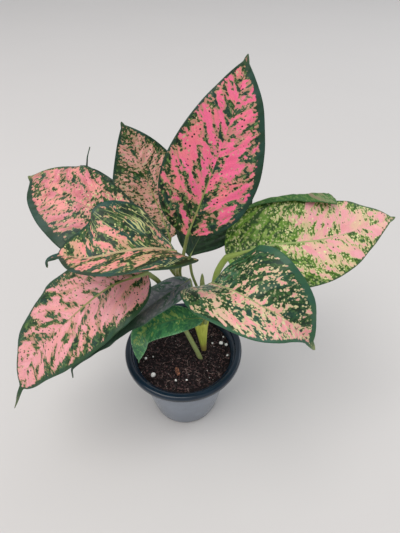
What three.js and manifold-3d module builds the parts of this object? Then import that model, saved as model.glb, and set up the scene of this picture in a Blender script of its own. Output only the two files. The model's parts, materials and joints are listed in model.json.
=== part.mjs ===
// Potted Chinese evergreen (Aglaonema) in a 12 cm nursery pot.
// Millimetres, +Z up, the pot's front towards -Y. The origin is the centre of the pot's underside.
import * as THREE from "three";
import { mergeVertices } from "three/addons/utils/BufferGeometryUtils.js";
import Module from "manifold-3d";

const wasm = await Module();
wasm.setup();

// ---- driving dimensions -------------------------------------------------------------------------

const GAP = 0.3; // clearance between pieces that rest on or in each other

const POT = {
  rimRadius: 60,
  mouthRadius: 53,
  neckRadius: 51.5, // outside of the body where it meets the rim
  footRadius: 37,
  height: 95,
  rimHeight: 6.5,
  rimRound: 2.5,
  footRound: 2,
  wall: 1.5,
  floor: 2,
  drainCount: 6,
  drainRadius: 2.5,
  drainCircle: 24,
  sides: 48,
};

const SOIL = {
  level: 84, // mean height of the soil's top
  unevenness: 0.7,
  waves: [9, 7, 15], // reach of the low waves along X, along Y and aslant
  socketDepth: 9,
  rings: 5,
  sides: 36,
};

const STEM = {
  foot: [21, 4],
  footRadius: 2.9,
  crown: [17.5, 7.5],
  crownRadius: 8.5,
  crownHeight: 128, // the leaf stalks leave the stem here
  flare: 1.3, // exponent of the widening from foot to crown
  rings: 6,
  sides: 16,
};

const LEAF = {
  thickness: 1,
  baseBulge: 0.6, // exponent of the outline towards the stalk
  tipTaper: 0.95, // exponent of the outline towards the tip
  tail: 0.07, // share of the blade that is drip tip
  tailWidth: 0.045, // width of the drip tip against the blade's
  leastHalfWidth: 0.5,
  steps: 13,
  stepsPerHalf: 3,
  midribReach: 0.4, // share of the blade that the raised midrib runs along
};

const STALK = { sides: 7, steps: 8, midribSteps: 4, tipRadius: 0.6 };

const BASE = STEM.crownHeight + GAP;

// Each leaf: stalk and midrib as route points, the blade's full width, the way that its upper face looks,
// and for each half (left and right from stalk to tip) how it folds up and curls, in degrees, with
// the exponents of its own outline where it differs.
const LEAVES = {
  leaf_tall: {
    stalk: [[15.4, 6.2, BASE], [9, 10, 155], [-1, 14, 183], [3, 8, 213], [7, 5, 236]],
    midrib: [[7, 5, 236], [20, 16, 268], [32, 29, 297], [44, 48, 327], [52, 71, 351]],
    stalkRadius: 1.5,
    width: 70,
    face: [0.1, -0.75, 0.65],
    left: { fold: 12, curl: -10, baseBulge: 0.52, tipTaper: 1, wide: 1.07 },
    right: { fold: 8, curl: -10, baseBulge: 0.58, tipTaper: 1.05, wide: 1.05 },
    tail: 0.02,
    colour: "#c4585c",
  },
  leaf_back_left: {
    stalk: [[17, 10, BASE], [11, 15, 155], [-4, 27, 170], [-13, 40, 184], [-11, 46, 200]],
    midrib: [[-11, 46, 200], [-24, 71, 222], [-38, 89, 253], [-53, 101, 288]],
    stalkRadius: 1.5,
    width: 72,
    face: [0.1, -0.6, 0.8],
    left: { fold: 12, curl: -15, baseBulge: 0.42, tipTaper: 0.9, wide: 1.12 },
    right: { fold: 10, curl: -15, baseBulge: 0.6, tipTaper: 0.85 },
    tail: 0.02,
    colour: "#a9666a",
  },
  leaf_left: {
    stalk: [[13, 12, BASE], [6, 13, 155], [-3, 19, 180], [-11, 21, 200], [-15, 22, 216]],
    midrib: [[-15, 22, 216], [-44, 24, 231], [-83, 34, 247], [-115, 50, 252], [-135, 67, 253]],
    stalkRadius: 1.5,
    width: 88,
    face: [0, -0.35, 0.94],
    left: { fold: -6, curl: -10, baseBulge: 0.6, tipTaper: 1.1 },
    right: { fold: -12, curl: -5, baseBulge: 0.9, tipTaper: 0.42, wide: 0.98 },
    tail: 0.02,
    colour: "#cf7078",
  },
  leaf_near_left: {
    stalk: [[11, 8, BASE], [5, 9, 155], [-3, 9, 188], [-2, 6, 206], [-3, 1, 222]],
    midrib: [
      [-3, 1, 222],
      [-22, -12, 236],
      [-44, -21, 240],
      [-66, -24, 237],
      [-88, -17, 233],
      [-101, -14.4, 227],
      [-103.6, -15.4, 220],
    ],
    stalkRadius: 1.7,
    width: 88,
    face: [-0.1, -0.07, 1],
    left: { fold: 20, curl: 0, baseBulge: 0.4, tipTaper: 1.2 },
    right: { fold: 28, curl: 0, baseBulge: 0.7, tipTaper: 0.95 },
    tail: 0.275,
    tailWidth: 0.065,
    colour: "#4b5c3a",
  },
  leaf_low_left: {
    stalk: [
      [17, -7, SOIL.level - SOIL.socketDepth + 1],
      [17, -7, SOIL.level],
      [3, 0, 120],
      [-11, 6, 152],
      [-19, 7, 179],
      [-29, 6, 193],
    ],
    midrib: [[-29, 6, 193], [-62, -9, 189], [-99, -26, 164], [-132, -40, 132], [-156, -63, 85]],
    stalkRadius: 2.3,
    width: 90,
    face: [-0.2, -0.5, 0.8],
    left: { fold: 8, curl: -5, baseBulge: 0.4, tipTaper: 0.55, wide: 0.88 },
    right: { fold: 5, curl: -15, baseBulge: 0.75, tipTaper: 0.78, wide: 0.9 },
    tail: 0.1,
    tailWidth: 0.06,
    colour: "#b9757b",
  },
  leaf_right: {
    stalk: [[24.5, 8.5, BASE], [28, 10, 155], [31.5, 11.5, 184], [35.5, 12, 197], [40, 13, 205]],
    midrib: [[40, 13, 205], [75, 18, 214], [122, 26, 214], [161, 40, 215], [199, 58, 215]],
    stalkRadius: 2.9,
    width: 82,
    face: [-0.1, -0.5, 0.85],
    left: { fold: 12, curl: -10, baseBulge: 0.45, tipTaper: 0.72 },
    right: { fold: 4, curl: -15, baseBulge: 0.6, tipTaper: 1.1 },
    tail: 0.02,
    colour: "#b7a075",
  },
  leaf_near_right: {
    stalk: [[22, 3, BASE], [22, 0, 155], [24, 1, 180], [28, -4, 190]],
    midrib: [[28, -4, 190], [45, -29, 206], [64, -45, 207], [88, -51, 193], [111, -53, 163]],
    stalkRadius: 1.7,
    width: 88,
    face: [0.25, -0.5, 0.85],
    left: { fold: 26, curl: 0, baseBulge: 0.5, tipTaper: 0.8 },
    right: { fold: 24, curl: 0, baseBulge: 0.42, tipTaper: 1.15 },
    tail: 0.05,
    tailWidth: 0.07,
    colour: "#5c5a41",
  },
  leaf_low_dark: {
    stalk: [[13, 3, BASE], [12, 4, 155], [8, 5, 186]],
    midrib: [
      [8, 5, 186],
      [-14, -2, 173],
      [-48, -10, 146],
      [-82, -17, 112],
      [-108, -22, 92],
      [-112.5, -25, 75],
    ],
    stalkRadius: 1.5,
    width: 40,
    face: [-0.3, -0.3, 0.9],
    left: { fold: 28, curl: -10, baseBulge: 0.35, tipTaper: 1.3 },
    right: { fold: 70, curl: -10, baseBulge: 0.55, wide: 0.8 },
    tail: 0.28,
    tailWidth: 0.14,
    colour: "#2b3330",
  },
  leaf_small_front: {
    stalk: [[17, 1, BASE], [19, -3, 140], [20, -7, 147]],
    midrib: [[20, -7, 147], [-9, -13, 151], [-35, -18, 138], [-42, -27, 105]],
    stalkRadius: 1.2,
    width: 33,
    face: [-0.3, -0.3, 0.9],
    left: { fold: 8, curl: -10, tipTaper: 0.8, wide: 0.85 },
    right: { fold: 8, curl: -10, tipTaper: 0.6 },
    tail: 0.03,
    colour: "#33553a",
  },
  leaf_back_right: {
    stalk: [[22, 12, BASE], [18, 13, 155], [10, 14, 183], [8, 13, 206]],
    midrib: [[8, 13, 206], [22, 46, 217], [34, 84, 240], [47, 117, 268]],
    stalkRadius: 1.3,
    width: 74,
    face: [0, -0.6, 0.8],
    left: { fold: 40, curl: -10 },
    right: { fold: 10, curl: -10, baseBulge: 1.1 },
    colour: "#24392a",
  },
  leaf_hidden_left: {
    stalk: [[17, 14, BASE], [10, 20, 155], [-9, 32, 169], [-22, 42, 192]],
    midrib: [
      [-22, 42, 192],
      [-42, 51, 202],
      [-66, 71, 223],
      [-86, 87, 245],
      [-86.7, 89, 257],
      [-83.4, 95.3, 267],
    ],
    stalkRadius: 1.4,
    width: 40,
    face: [0, -0.6, 0.8],
    left: { fold: 10, curl: -10 },
    right: { fold: 10, curl: -10 },
    tail: 0.32,
    colour: "#35513a",
  },
};

const SPEAR = {
  route: [[19.6, 6.2, BASE], [20, 9, 150], [19, 11, 175], [19, 13, 186]],
  footRadius: 1.5,
  widest: 2.5,
  widestAt: 0.5, // share of its length
  taperFrom: 0.6,
  tipRadius: 0.25,
  steps: 12,
};

// Grains that lie on the soil: place on the soil's plan and size across.
const PERLITE = [
  [39.6, 10.3, 4.8],
  [45, 8.2, 3.8],
  [42.3, 18.4, 2.6],
  [30.3, 10.9, 2.6],
  [45.4, -5, 3],
  [-38.9, -8.9, 3.4],
  [-31.7, -6.1, 2],
  [-29.5, -28.8, 5.4],
  [-6.8, -34.6, 2.8],
  [3.9, -34.1, 2.2],
];
const GRAIN_SQUASH = 0.75; // height against width
const BARK_CHIP = { place: [-5.6, -24.2], size: [10.5, 3.8, 2], turn: 1.88 };

// ---- closed solids ------------------------------------------------------------------------------

const vectors = (points) => points.map((point) => new THREE.Vector3(...point));
const routeThrough = (points) => new THREE.CatmullRomCurve3(points, false, "catmullrom", 0.5);

// Points of a quarter circle, for a lathe profile.
function corner(centreX, centreY, radius, fromDegrees, toDegrees, steps = 3) {
  const points = [];
  for (let i = 0; i <= steps; i += 1) {
    const angle = THREE.MathUtils.degToRad(fromDegrees + ((toDegrees - fromDegrees) * i) / steps);
    points.push(new THREE.Vector2(centreX + radius * Math.cos(angle), centreY + radius * Math.sin(angle)));
  }
  return points;
}

// A lathe turns about +Y, so it is stood up to turn about +Z.
function turned(profile, sides) {
  return new THREE.LatheGeometry(profile, sides).rotateX(Math.PI / 2);
}

// Joins rings of equally many points, in order, and closes both ends with a fan about their centres.
function loft(rings) {
  const sides = rings[0].length;
  const points = rings.flat();
  const indices = [];
  for (let ring = 0; ring < rings.length - 1; ring += 1) {
    for (let side = 0; side < sides; side += 1) {
      const a = ring * sides + side;
      const b = ring * sides + ((side + 1) % sides);
      indices.push(a, b, b + sides, a, b + sides, a + sides);
    }
  }
  closeEnd(points, indices, 0, sides, true);
  closeEnd(points, indices, (rings.length - 1) * sides, sides, false);
  return meshGeometry(points, indices);
}

function closeEnd(points, indices, start, sides, facesBack) {
  const centre = new THREE.Vector3();
  for (let side = 0; side < sides; side += 1) {
    centre.addScaledVector(points[start + side], 1 / sides);
  }
  const hub = points.push(centre) - 1;
  for (let side = 0; side < sides; side += 1) {
    const here = start + side;
    const next = start + ((side + 1) % sides);
    indices.push(hub, facesBack ? next : here, facesBack ? here : next);
  }
}

function meshGeometry(points, indices) {
  const geometry = new THREE.BufferGeometry().setFromPoints(points);
  geometry.setIndex(indices);
  geometry.computeVertexNormals();
  return geometry;
}

function ring(centre, across, up, radius, sides) {
  const points = [];
  for (let side = 0; side < sides; side += 1) {
    const angle = (2 * Math.PI * side) / sides;
    points.push(
      centre
        .clone()
        .addScaledVector(across, radius * Math.cos(angle))
        .addScaledVector(up, radius * Math.sin(angle)),
    );
  }
  return points;
}

// A round bar along a route, with its foot cut level and a radius for each share of its length.
function taperedBar(route, steps, sides, radiusAt) {
  const rings = [];
  let across = new THREE.Vector3(1, 0, 0);
  for (let i = 0; i <= steps; i += 1) {
    const share = i / steps;
    const along = i === 0 ? new THREE.Vector3(0, 0, 1) : route.getTangentAt(share);
    across = across.clone().addScaledVector(along, -across.dot(along)).normalize();
    const up = along.clone().cross(across);
    rings.push(ring(route.getPointAt(share), across, up, radiusAt(share), sides));
  }
  return loft(rings);
}

// ---- booleans -----------------------------------------------------------------------------------

function toSolid(geometry) {
  const bare = geometry.clone();
  bare.deleteAttribute("normal");
  bare.deleteAttribute("uv");
  const merged = mergeVertices(bare, 1e-4);
  return new wasm.Manifold(
    new wasm.Mesh({
      numProp: 3,
      vertProperties: new Float32Array(merged.attributes.position.array),
      triVerts: new Uint32Array(merged.index.array),
    }),
  );
}

function toGeometry(solid) {
  const mesh = solid.getMesh();
  const geometry = new THREE.BufferGeometry();
  geometry.setAttribute("position", new THREE.BufferAttribute(new Float32Array(mesh.vertProperties), 3));
  geometry.setIndex(new THREE.BufferAttribute(new Uint32Array(mesh.triVerts), 1));
  geometry.computeVertexNormals();
  return geometry;
}

function cutAway(geometry, tools) {
  const cut = tools.reduce((solid, tool) => solid.subtract(toSolid(tool)), toSolid(geometry));
  return toGeometry(cut);
}

// ---- pot and soil -------------------------------------------------------------------------------

const bodyHeight = POT.height - POT.rimHeight;

function wallRadius(height) {
  return POT.footRadius + ((POT.neckRadius - POT.footRadius) * height) / bodyHeight;
}

function potGeometry() {
  const round = POT.rimRound;
  const underRim = 1; // rounding of the rim's lower edge
  const lead = 2; // height over which the mouth narrows to the body's inside
  const profile = [
    new THREE.Vector2(0, 0),
    ...corner(POT.footRadius - POT.footRound, POT.footRound, POT.footRound, -90, -10),
    new THREE.Vector2(POT.neckRadius, bodyHeight),
    ...corner(POT.rimRadius - underRim, bodyHeight + underRim, underRim, -90, 0, 2),
    ...corner(POT.rimRadius - round, POT.height - round, round, 0, 90),
    ...corner(POT.mouthRadius + round, POT.height - round, round, 90, 180),
    new THREE.Vector2(POT.mouthRadius, bodyHeight + lead),
    new THREE.Vector2(wallRadius(bodyHeight) - POT.wall, bodyHeight),
    new THREE.Vector2(wallRadius(POT.floor) - POT.wall, POT.floor),
    new THREE.Vector2(0, POT.floor),
  ];
  return cutAway(turned(profile, POT.sides), drainHoles());
}

function drainHoles() {
  const holes = [];
  for (let i = 0; i < POT.drainCount; i += 1) {
    const angle = (2 * Math.PI * (i + 0.5)) / POT.drainCount;
    const hole = new THREE.CylinderGeometry(POT.drainRadius, POT.drainRadius, 3 * POT.floor, 12);
    hole.rotateX(Math.PI / 2);
    hole.translate(POT.drainCircle * Math.cos(angle), POT.drainCircle * Math.sin(angle), POT.floor / 2);
    holes.push(hole);
  }
  return holes;
}

// The soil's top is nearly flat, with low waves that die out at the pot's wall.
function soilHeight(x, y) {
  const [alongX, alongY, aslant] = SOIL.waves;
  const edge = 1 - Math.min(Math.hypot(x, y) / wallRadius(SOIL.level), 1) ** 4;
  return SOIL.level + SOIL.unevenness * edge * (Math.sin(x / alongX + 1) + Math.cos(y / alongY + x / aslant));
}

function soilRing(radius, heightAt) {
  const points = [];
  for (let side = 0; side < SOIL.sides; side += 1) {
    const angle = (2 * Math.PI * side) / SOIL.sides;
    const x = radius * Math.cos(angle);
    const y = radius * Math.sin(angle);
    points.push(new THREE.Vector3(x, y, heightAt(x, y)));
  }
  return points;
}

function soilGeometry() {
  const clearance = POT.wall + 2 * GAP; // the flats of the pot's faceted wall lie a little further in
  const bottom = POT.floor + GAP;
  const topRadius = wallRadius(SOIL.level) - clearance;
  const rings = [soilRing(wallRadius(bottom) - clearance, () => bottom)];
  for (let i = SOIL.rings; i > 0; i -= 1) {
    rings.push(soilRing((topRadius * i) / SOIL.rings, soilHeight));
  }
  return cutAway(loft(rings), [stemGeometry(GAP), stalkGeometry(LEAVES.leaf_low_left, GAP)]);
}

// ---- plant --------------------------------------------------------------------------------------

// The stem widens from its foot, where it enters the soil, to the crown that the stalks leave.
function stemGeometry(clearance = 0) {
  const bottom = SOIL.level - SOIL.socketDepth - clearance;
  const foot = new THREE.Vector3(...STEM.foot, SOIL.level);
  const crown = new THREE.Vector3(...STEM.crown, STEM.crownHeight);
  const across = new THREE.Vector3(1, 0, 0);
  const up = new THREE.Vector3(0, 1, 0);
  const rings = [ring(foot.clone().setZ(bottom), across, up, STEM.footRadius + clearance, STEM.sides)];
  for (let i = 0; i < STEM.rings; i += 1) {
    const share = i / (STEM.rings - 1);
    const radius = THREE.MathUtils.lerp(STEM.footRadius, STEM.crownRadius, share ** STEM.flare);
    rings.push(ring(foot.clone().lerp(crown, share), across, up, radius + clearance, STEM.sides));
  }
  return loft(rings);
}

function spearGeometry() {
  const route = routeThrough(vectors(SPEAR.route));
  return taperedBar(route, SPEAR.steps, STALK.sides, (share) => {
    const swell = Math.min(share / SPEAR.widestAt, 1);
    const radius = THREE.MathUtils.lerp(SPEAR.footRadius, SPEAR.widest, swell);
    const left = Math.min((1 - share) / (1 - SPEAR.taperFrom), 1);
    return Math.max(radius * Math.sqrt(left), SPEAR.tipRadius);
  });
}

// Outline of one half of a blade: its half width at a share of the length from stalk to tip.
function halfWidth(leaf, half, share) {
  const bulge = half.baseBulge ?? LEAF.baseBulge;
  const taper = half.tipTaper ?? LEAF.tipTaper;
  const tail = leaf.tail ?? LEAF.tail;
  const within = Math.min(share / (1 - tail), 1);
  const widestAt = bulge / (bulge + taper);
  const body = (within / widestAt) ** bulge * ((1 - within) / (1 - widestAt)) ** taper;
  const tailWidth = leaf.tailWidth ?? LEAF.tailWidth;
  const drip = share > 0.5 ? tailWidth * Math.sqrt((1 - share) / tail) : 0;
  const widest = (leaf.width / 2) * (half.wide ?? 1);
  return Math.max(widest * Math.max(body, drip), LEAF.leastHalfWidth);
}

// Point on a blade: share of its length, and across from -1 at the left edge to 1 at the right.
function bladePoint(leaf, route, share, across) {
  const along = route.getTangent(share);
  const face = new THREE.Vector3(...leaf.face);
  const normal = face.addScaledVector(along, -face.dot(along)).normalize();
  const leftwards = normal.clone().cross(along);
  const half = across < 0 ? leaf.left : leaf.right;
  const out = Math.abs(across) * halfWidth(leaf, half, share);
  const angle = THREE.MathUtils.degToRad(half.fold + (half.curl * Math.abs(across)) / 2);
  const point = route.getPoint(share);
  point.addScaledVector(leftwards, -Math.sign(across) * out * Math.cos(angle));
  point.addScaledVector(normal, out * Math.sin(angle));
  return { point, normal };
}

// One ring around the blade's cross-section: over its upper face and back along its underside.
function bladeSection(leaf, route, share) {
  const upper = [];
  const under = [];
  for (let i = -LEAF.stepsPerHalf; i <= LEAF.stepsPerHalf; i += 1) {
    const { point, normal } = bladePoint(leaf, route, share, i / LEAF.stepsPerHalf);
    upper.push(point.clone().addScaledVector(normal, LEAF.thickness / 2));
    under.push(point.clone().addScaledVector(normal, -LEAF.thickness / 2));
  }
  return [...upper, ...under.reverse()];
}

function bladeGeometry(leaf) {
  const route = routeThrough(vectors(leaf.midrib));
  const sections = [];
  for (let i = 0; i <= LEAF.steps; i += 1) {
    const share = (1 - Math.cos((Math.PI * i) / LEAF.steps)) / 2;
    sections.push(bladeSection(leaf, route, share));
  }
  return loft(sections);
}

// The stalk runs on into the blade as its midrib and thins out there.
function stalkGeometry(leaf, clearance = 0) {
  const stalk = routeThrough(vectors(leaf.stalk)).getPoints(STALK.steps);
  stalk[0].z -= clearance;
  const midrib = routeThrough(vectors(leaf.midrib));
  const spine = [...stalk];
  for (let i = 1; i <= STALK.midribSteps; i += 1) {
    spine.push(midrib.getPoint((LEAF.midribReach * i) / STALK.midribSteps));
  }
  const route = routeThrough(spine);
  const stalkShare = routeThrough(stalk).getLength() / route.getLength();
  return taperedBar(route, STALK.steps + STALK.midribSteps, STALK.sides, (share) => {
    const beyond = Math.max(share - stalkShare, 0) / (1 - stalkShare);
    return THREE.MathUtils.lerp(leaf.stalkRadius, STALK.tipRadius, beyond) + clearance;
  });
}

function leafGeometry(leaf) {
  return toGeometry(toSolid(bladeGeometry(leaf)).add(toSolid(stalkGeometry(leaf))));
}

// ---- grains -------------------------------------------------------------------------------------

function perliteGrain([x, y, size], index) {
  const grain = mesh(`perlite_${index + 1}`, new THREE.IcosahedronGeometry(size / 2, 1), "#e6e2d8", 0.9);
  grain.scale.z = GRAIN_SQUASH;
  grain.rotation.z = index;
  grain.position.set(x, y, soilHeight(x, y) + (GRAIN_SQUASH * size) / 2 + GAP);
  return grain;
}

function barkChip() {
  const [x, y] = BARK_CHIP.place;
  const [length, width, thickness] = BARK_CHIP.size;
  const chip = mesh("bark_chip", new THREE.BoxGeometry(length, width, thickness), "#4a2f1f", 0.9);
  chip.rotation.z = BARK_CHIP.turn;
  chip.position.set(x, y, soilHeight(x, y) + thickness / 2 + 2 * GAP);
  return chip;
}

// ---- the assembly -------------------------------------------------------------------------------

function mesh(name, geometry, color, roughness) {
  const piece = new THREE.Mesh(geometry, new THREE.MeshStandardMaterial({ color, roughness, metalness: 0 }));
  piece.name = name;
  return piece;
}

function plant() {
  const group = new THREE.Group();
  group.add(mesh("stem", stemGeometry(), "#8d8b52", 0.5));
  group.add(mesh("new_leaf", spearGeometry(), "#a7a85c", 0.45));
  for (const [name, leaf] of Object.entries(LEAVES)) {
    group.add(mesh(name, leafGeometry(leaf), leaf.colour, 0.4));
  }
  return group;
}

const pottedEvergreen = new THREE.Group();
pottedEvergreen.add(mesh("nursery_pot", potGeometry(), "#1b1f29", 0.3));
pottedEvergreen.add(mesh("potting_soil", soilGeometry(), "#2a1d16", 0.95));
pottedEvergreen.add(plant());
pottedEvergreen.add(...PERLITE.map(perliteGrain));
pottedEvergreen.add(barkChip());

export default pottedEvergreen;
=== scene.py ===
"""Looks of a potted Chinese evergreen: pink variegated leaves in a dark nursery pot."""

import json
import math

import bmesh
import bpy
import numpy as np
from bpy.props import FloatProperty, FloatVectorProperty, IntProperty, PointerProperty
from mathutils import Vector
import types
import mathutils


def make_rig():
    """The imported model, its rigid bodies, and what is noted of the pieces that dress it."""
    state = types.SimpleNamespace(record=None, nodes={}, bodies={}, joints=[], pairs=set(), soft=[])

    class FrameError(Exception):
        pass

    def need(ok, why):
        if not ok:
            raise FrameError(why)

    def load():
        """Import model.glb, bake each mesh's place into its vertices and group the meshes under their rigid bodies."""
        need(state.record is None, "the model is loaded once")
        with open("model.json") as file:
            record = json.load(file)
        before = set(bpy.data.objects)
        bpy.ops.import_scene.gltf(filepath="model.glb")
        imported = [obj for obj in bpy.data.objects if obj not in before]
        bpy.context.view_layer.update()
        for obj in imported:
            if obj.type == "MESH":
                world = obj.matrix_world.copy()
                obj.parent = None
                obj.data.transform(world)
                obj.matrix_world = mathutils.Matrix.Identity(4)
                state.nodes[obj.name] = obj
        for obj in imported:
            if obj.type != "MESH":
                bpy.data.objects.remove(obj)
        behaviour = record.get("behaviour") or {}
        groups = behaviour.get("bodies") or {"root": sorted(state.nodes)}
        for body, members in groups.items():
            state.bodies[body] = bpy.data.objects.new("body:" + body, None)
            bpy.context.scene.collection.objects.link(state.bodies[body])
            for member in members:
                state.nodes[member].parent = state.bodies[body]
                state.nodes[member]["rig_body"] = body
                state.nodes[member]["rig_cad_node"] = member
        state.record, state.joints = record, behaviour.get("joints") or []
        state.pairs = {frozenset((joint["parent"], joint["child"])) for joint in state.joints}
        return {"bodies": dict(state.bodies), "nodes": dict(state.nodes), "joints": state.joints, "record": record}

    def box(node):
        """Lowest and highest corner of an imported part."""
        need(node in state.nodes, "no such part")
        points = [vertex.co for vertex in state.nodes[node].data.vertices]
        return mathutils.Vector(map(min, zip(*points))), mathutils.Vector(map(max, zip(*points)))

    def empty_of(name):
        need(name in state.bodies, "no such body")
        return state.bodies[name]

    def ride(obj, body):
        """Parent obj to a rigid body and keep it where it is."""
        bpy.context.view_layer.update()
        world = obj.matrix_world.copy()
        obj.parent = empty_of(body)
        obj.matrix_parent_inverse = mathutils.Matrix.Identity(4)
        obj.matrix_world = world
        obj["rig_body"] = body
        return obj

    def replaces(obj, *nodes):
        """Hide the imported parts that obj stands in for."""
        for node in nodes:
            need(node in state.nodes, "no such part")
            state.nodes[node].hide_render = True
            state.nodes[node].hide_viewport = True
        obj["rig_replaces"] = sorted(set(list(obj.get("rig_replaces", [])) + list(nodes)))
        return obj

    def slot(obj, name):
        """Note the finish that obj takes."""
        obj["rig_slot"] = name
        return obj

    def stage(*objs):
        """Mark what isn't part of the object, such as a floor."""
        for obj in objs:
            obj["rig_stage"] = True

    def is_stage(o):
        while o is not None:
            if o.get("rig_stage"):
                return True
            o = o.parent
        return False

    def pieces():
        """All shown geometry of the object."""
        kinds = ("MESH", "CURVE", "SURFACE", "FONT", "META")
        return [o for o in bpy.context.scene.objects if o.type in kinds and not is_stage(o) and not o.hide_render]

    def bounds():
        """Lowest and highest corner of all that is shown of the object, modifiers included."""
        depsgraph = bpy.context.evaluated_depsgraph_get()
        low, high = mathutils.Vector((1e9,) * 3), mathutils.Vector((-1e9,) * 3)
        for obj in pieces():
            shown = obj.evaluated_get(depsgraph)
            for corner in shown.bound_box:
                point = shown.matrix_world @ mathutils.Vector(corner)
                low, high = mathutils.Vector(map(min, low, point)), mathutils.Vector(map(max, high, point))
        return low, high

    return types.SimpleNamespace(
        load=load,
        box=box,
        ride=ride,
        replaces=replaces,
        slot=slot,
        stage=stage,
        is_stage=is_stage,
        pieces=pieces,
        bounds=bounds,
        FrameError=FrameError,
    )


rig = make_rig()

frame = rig.load()
CAD_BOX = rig.bounds()

bl_info = {
    "name": "Potted Chinese evergreen",
    "version": (1, 0, 0),
    "blender": (4, 5, 0),
    "location": "3D View > Sidebar > Evergreen",
    "description": "Grows a pink variegated Chinese evergreen in a nursery pot",
    "category": "Add Mesh",
}

MM = 0.001
BODY = "root"
POT_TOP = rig.box("nursery_pot")[1]

# ---- the plant: places and sizes in millimetres, as in the CAD ----------------------------------

CROWN = 128.3  # height where the stalks leave the stem
VEIN_STEP = 8.5  # from one side vein to the next, along the midrib
VEIN_SHIFT = 0.25  # steps by which the side veins of each half sit off the middle, one each way
VEIN_LEAN, VEIN_BOW = 0.62, 0.009  # how fast the side veins sweep on towards the tip, and curve
SOIL_TOP = 84  # mean height of the soil's top
SOIL_RADIUS = 48.95  # at its top
SOIL_SIDE = ((70, 46.4), (4, 36.0))  # height and radius of the soil's rings below its top
STEM_FOOT = np.array([21, 4, SOIL_TOP])  # middle of the stem's foot
STEM_RISE = np.array([-3.5, 3.5, 44])  # from the foot to the crown
STEM_GIRTH = (2.9, 5.6)  # radius at the foot, and what it gains towards the crown


def half(fold, curl, bulge=0.6, taper=0.95, wide=1.0):
    """One half of a blade: how it folds up from the midrib, curls, and narrows to its ends."""
    return {"fold": fold, "curl": curl, "bulge": bulge, "taper": taper, "wide": wide}


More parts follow.
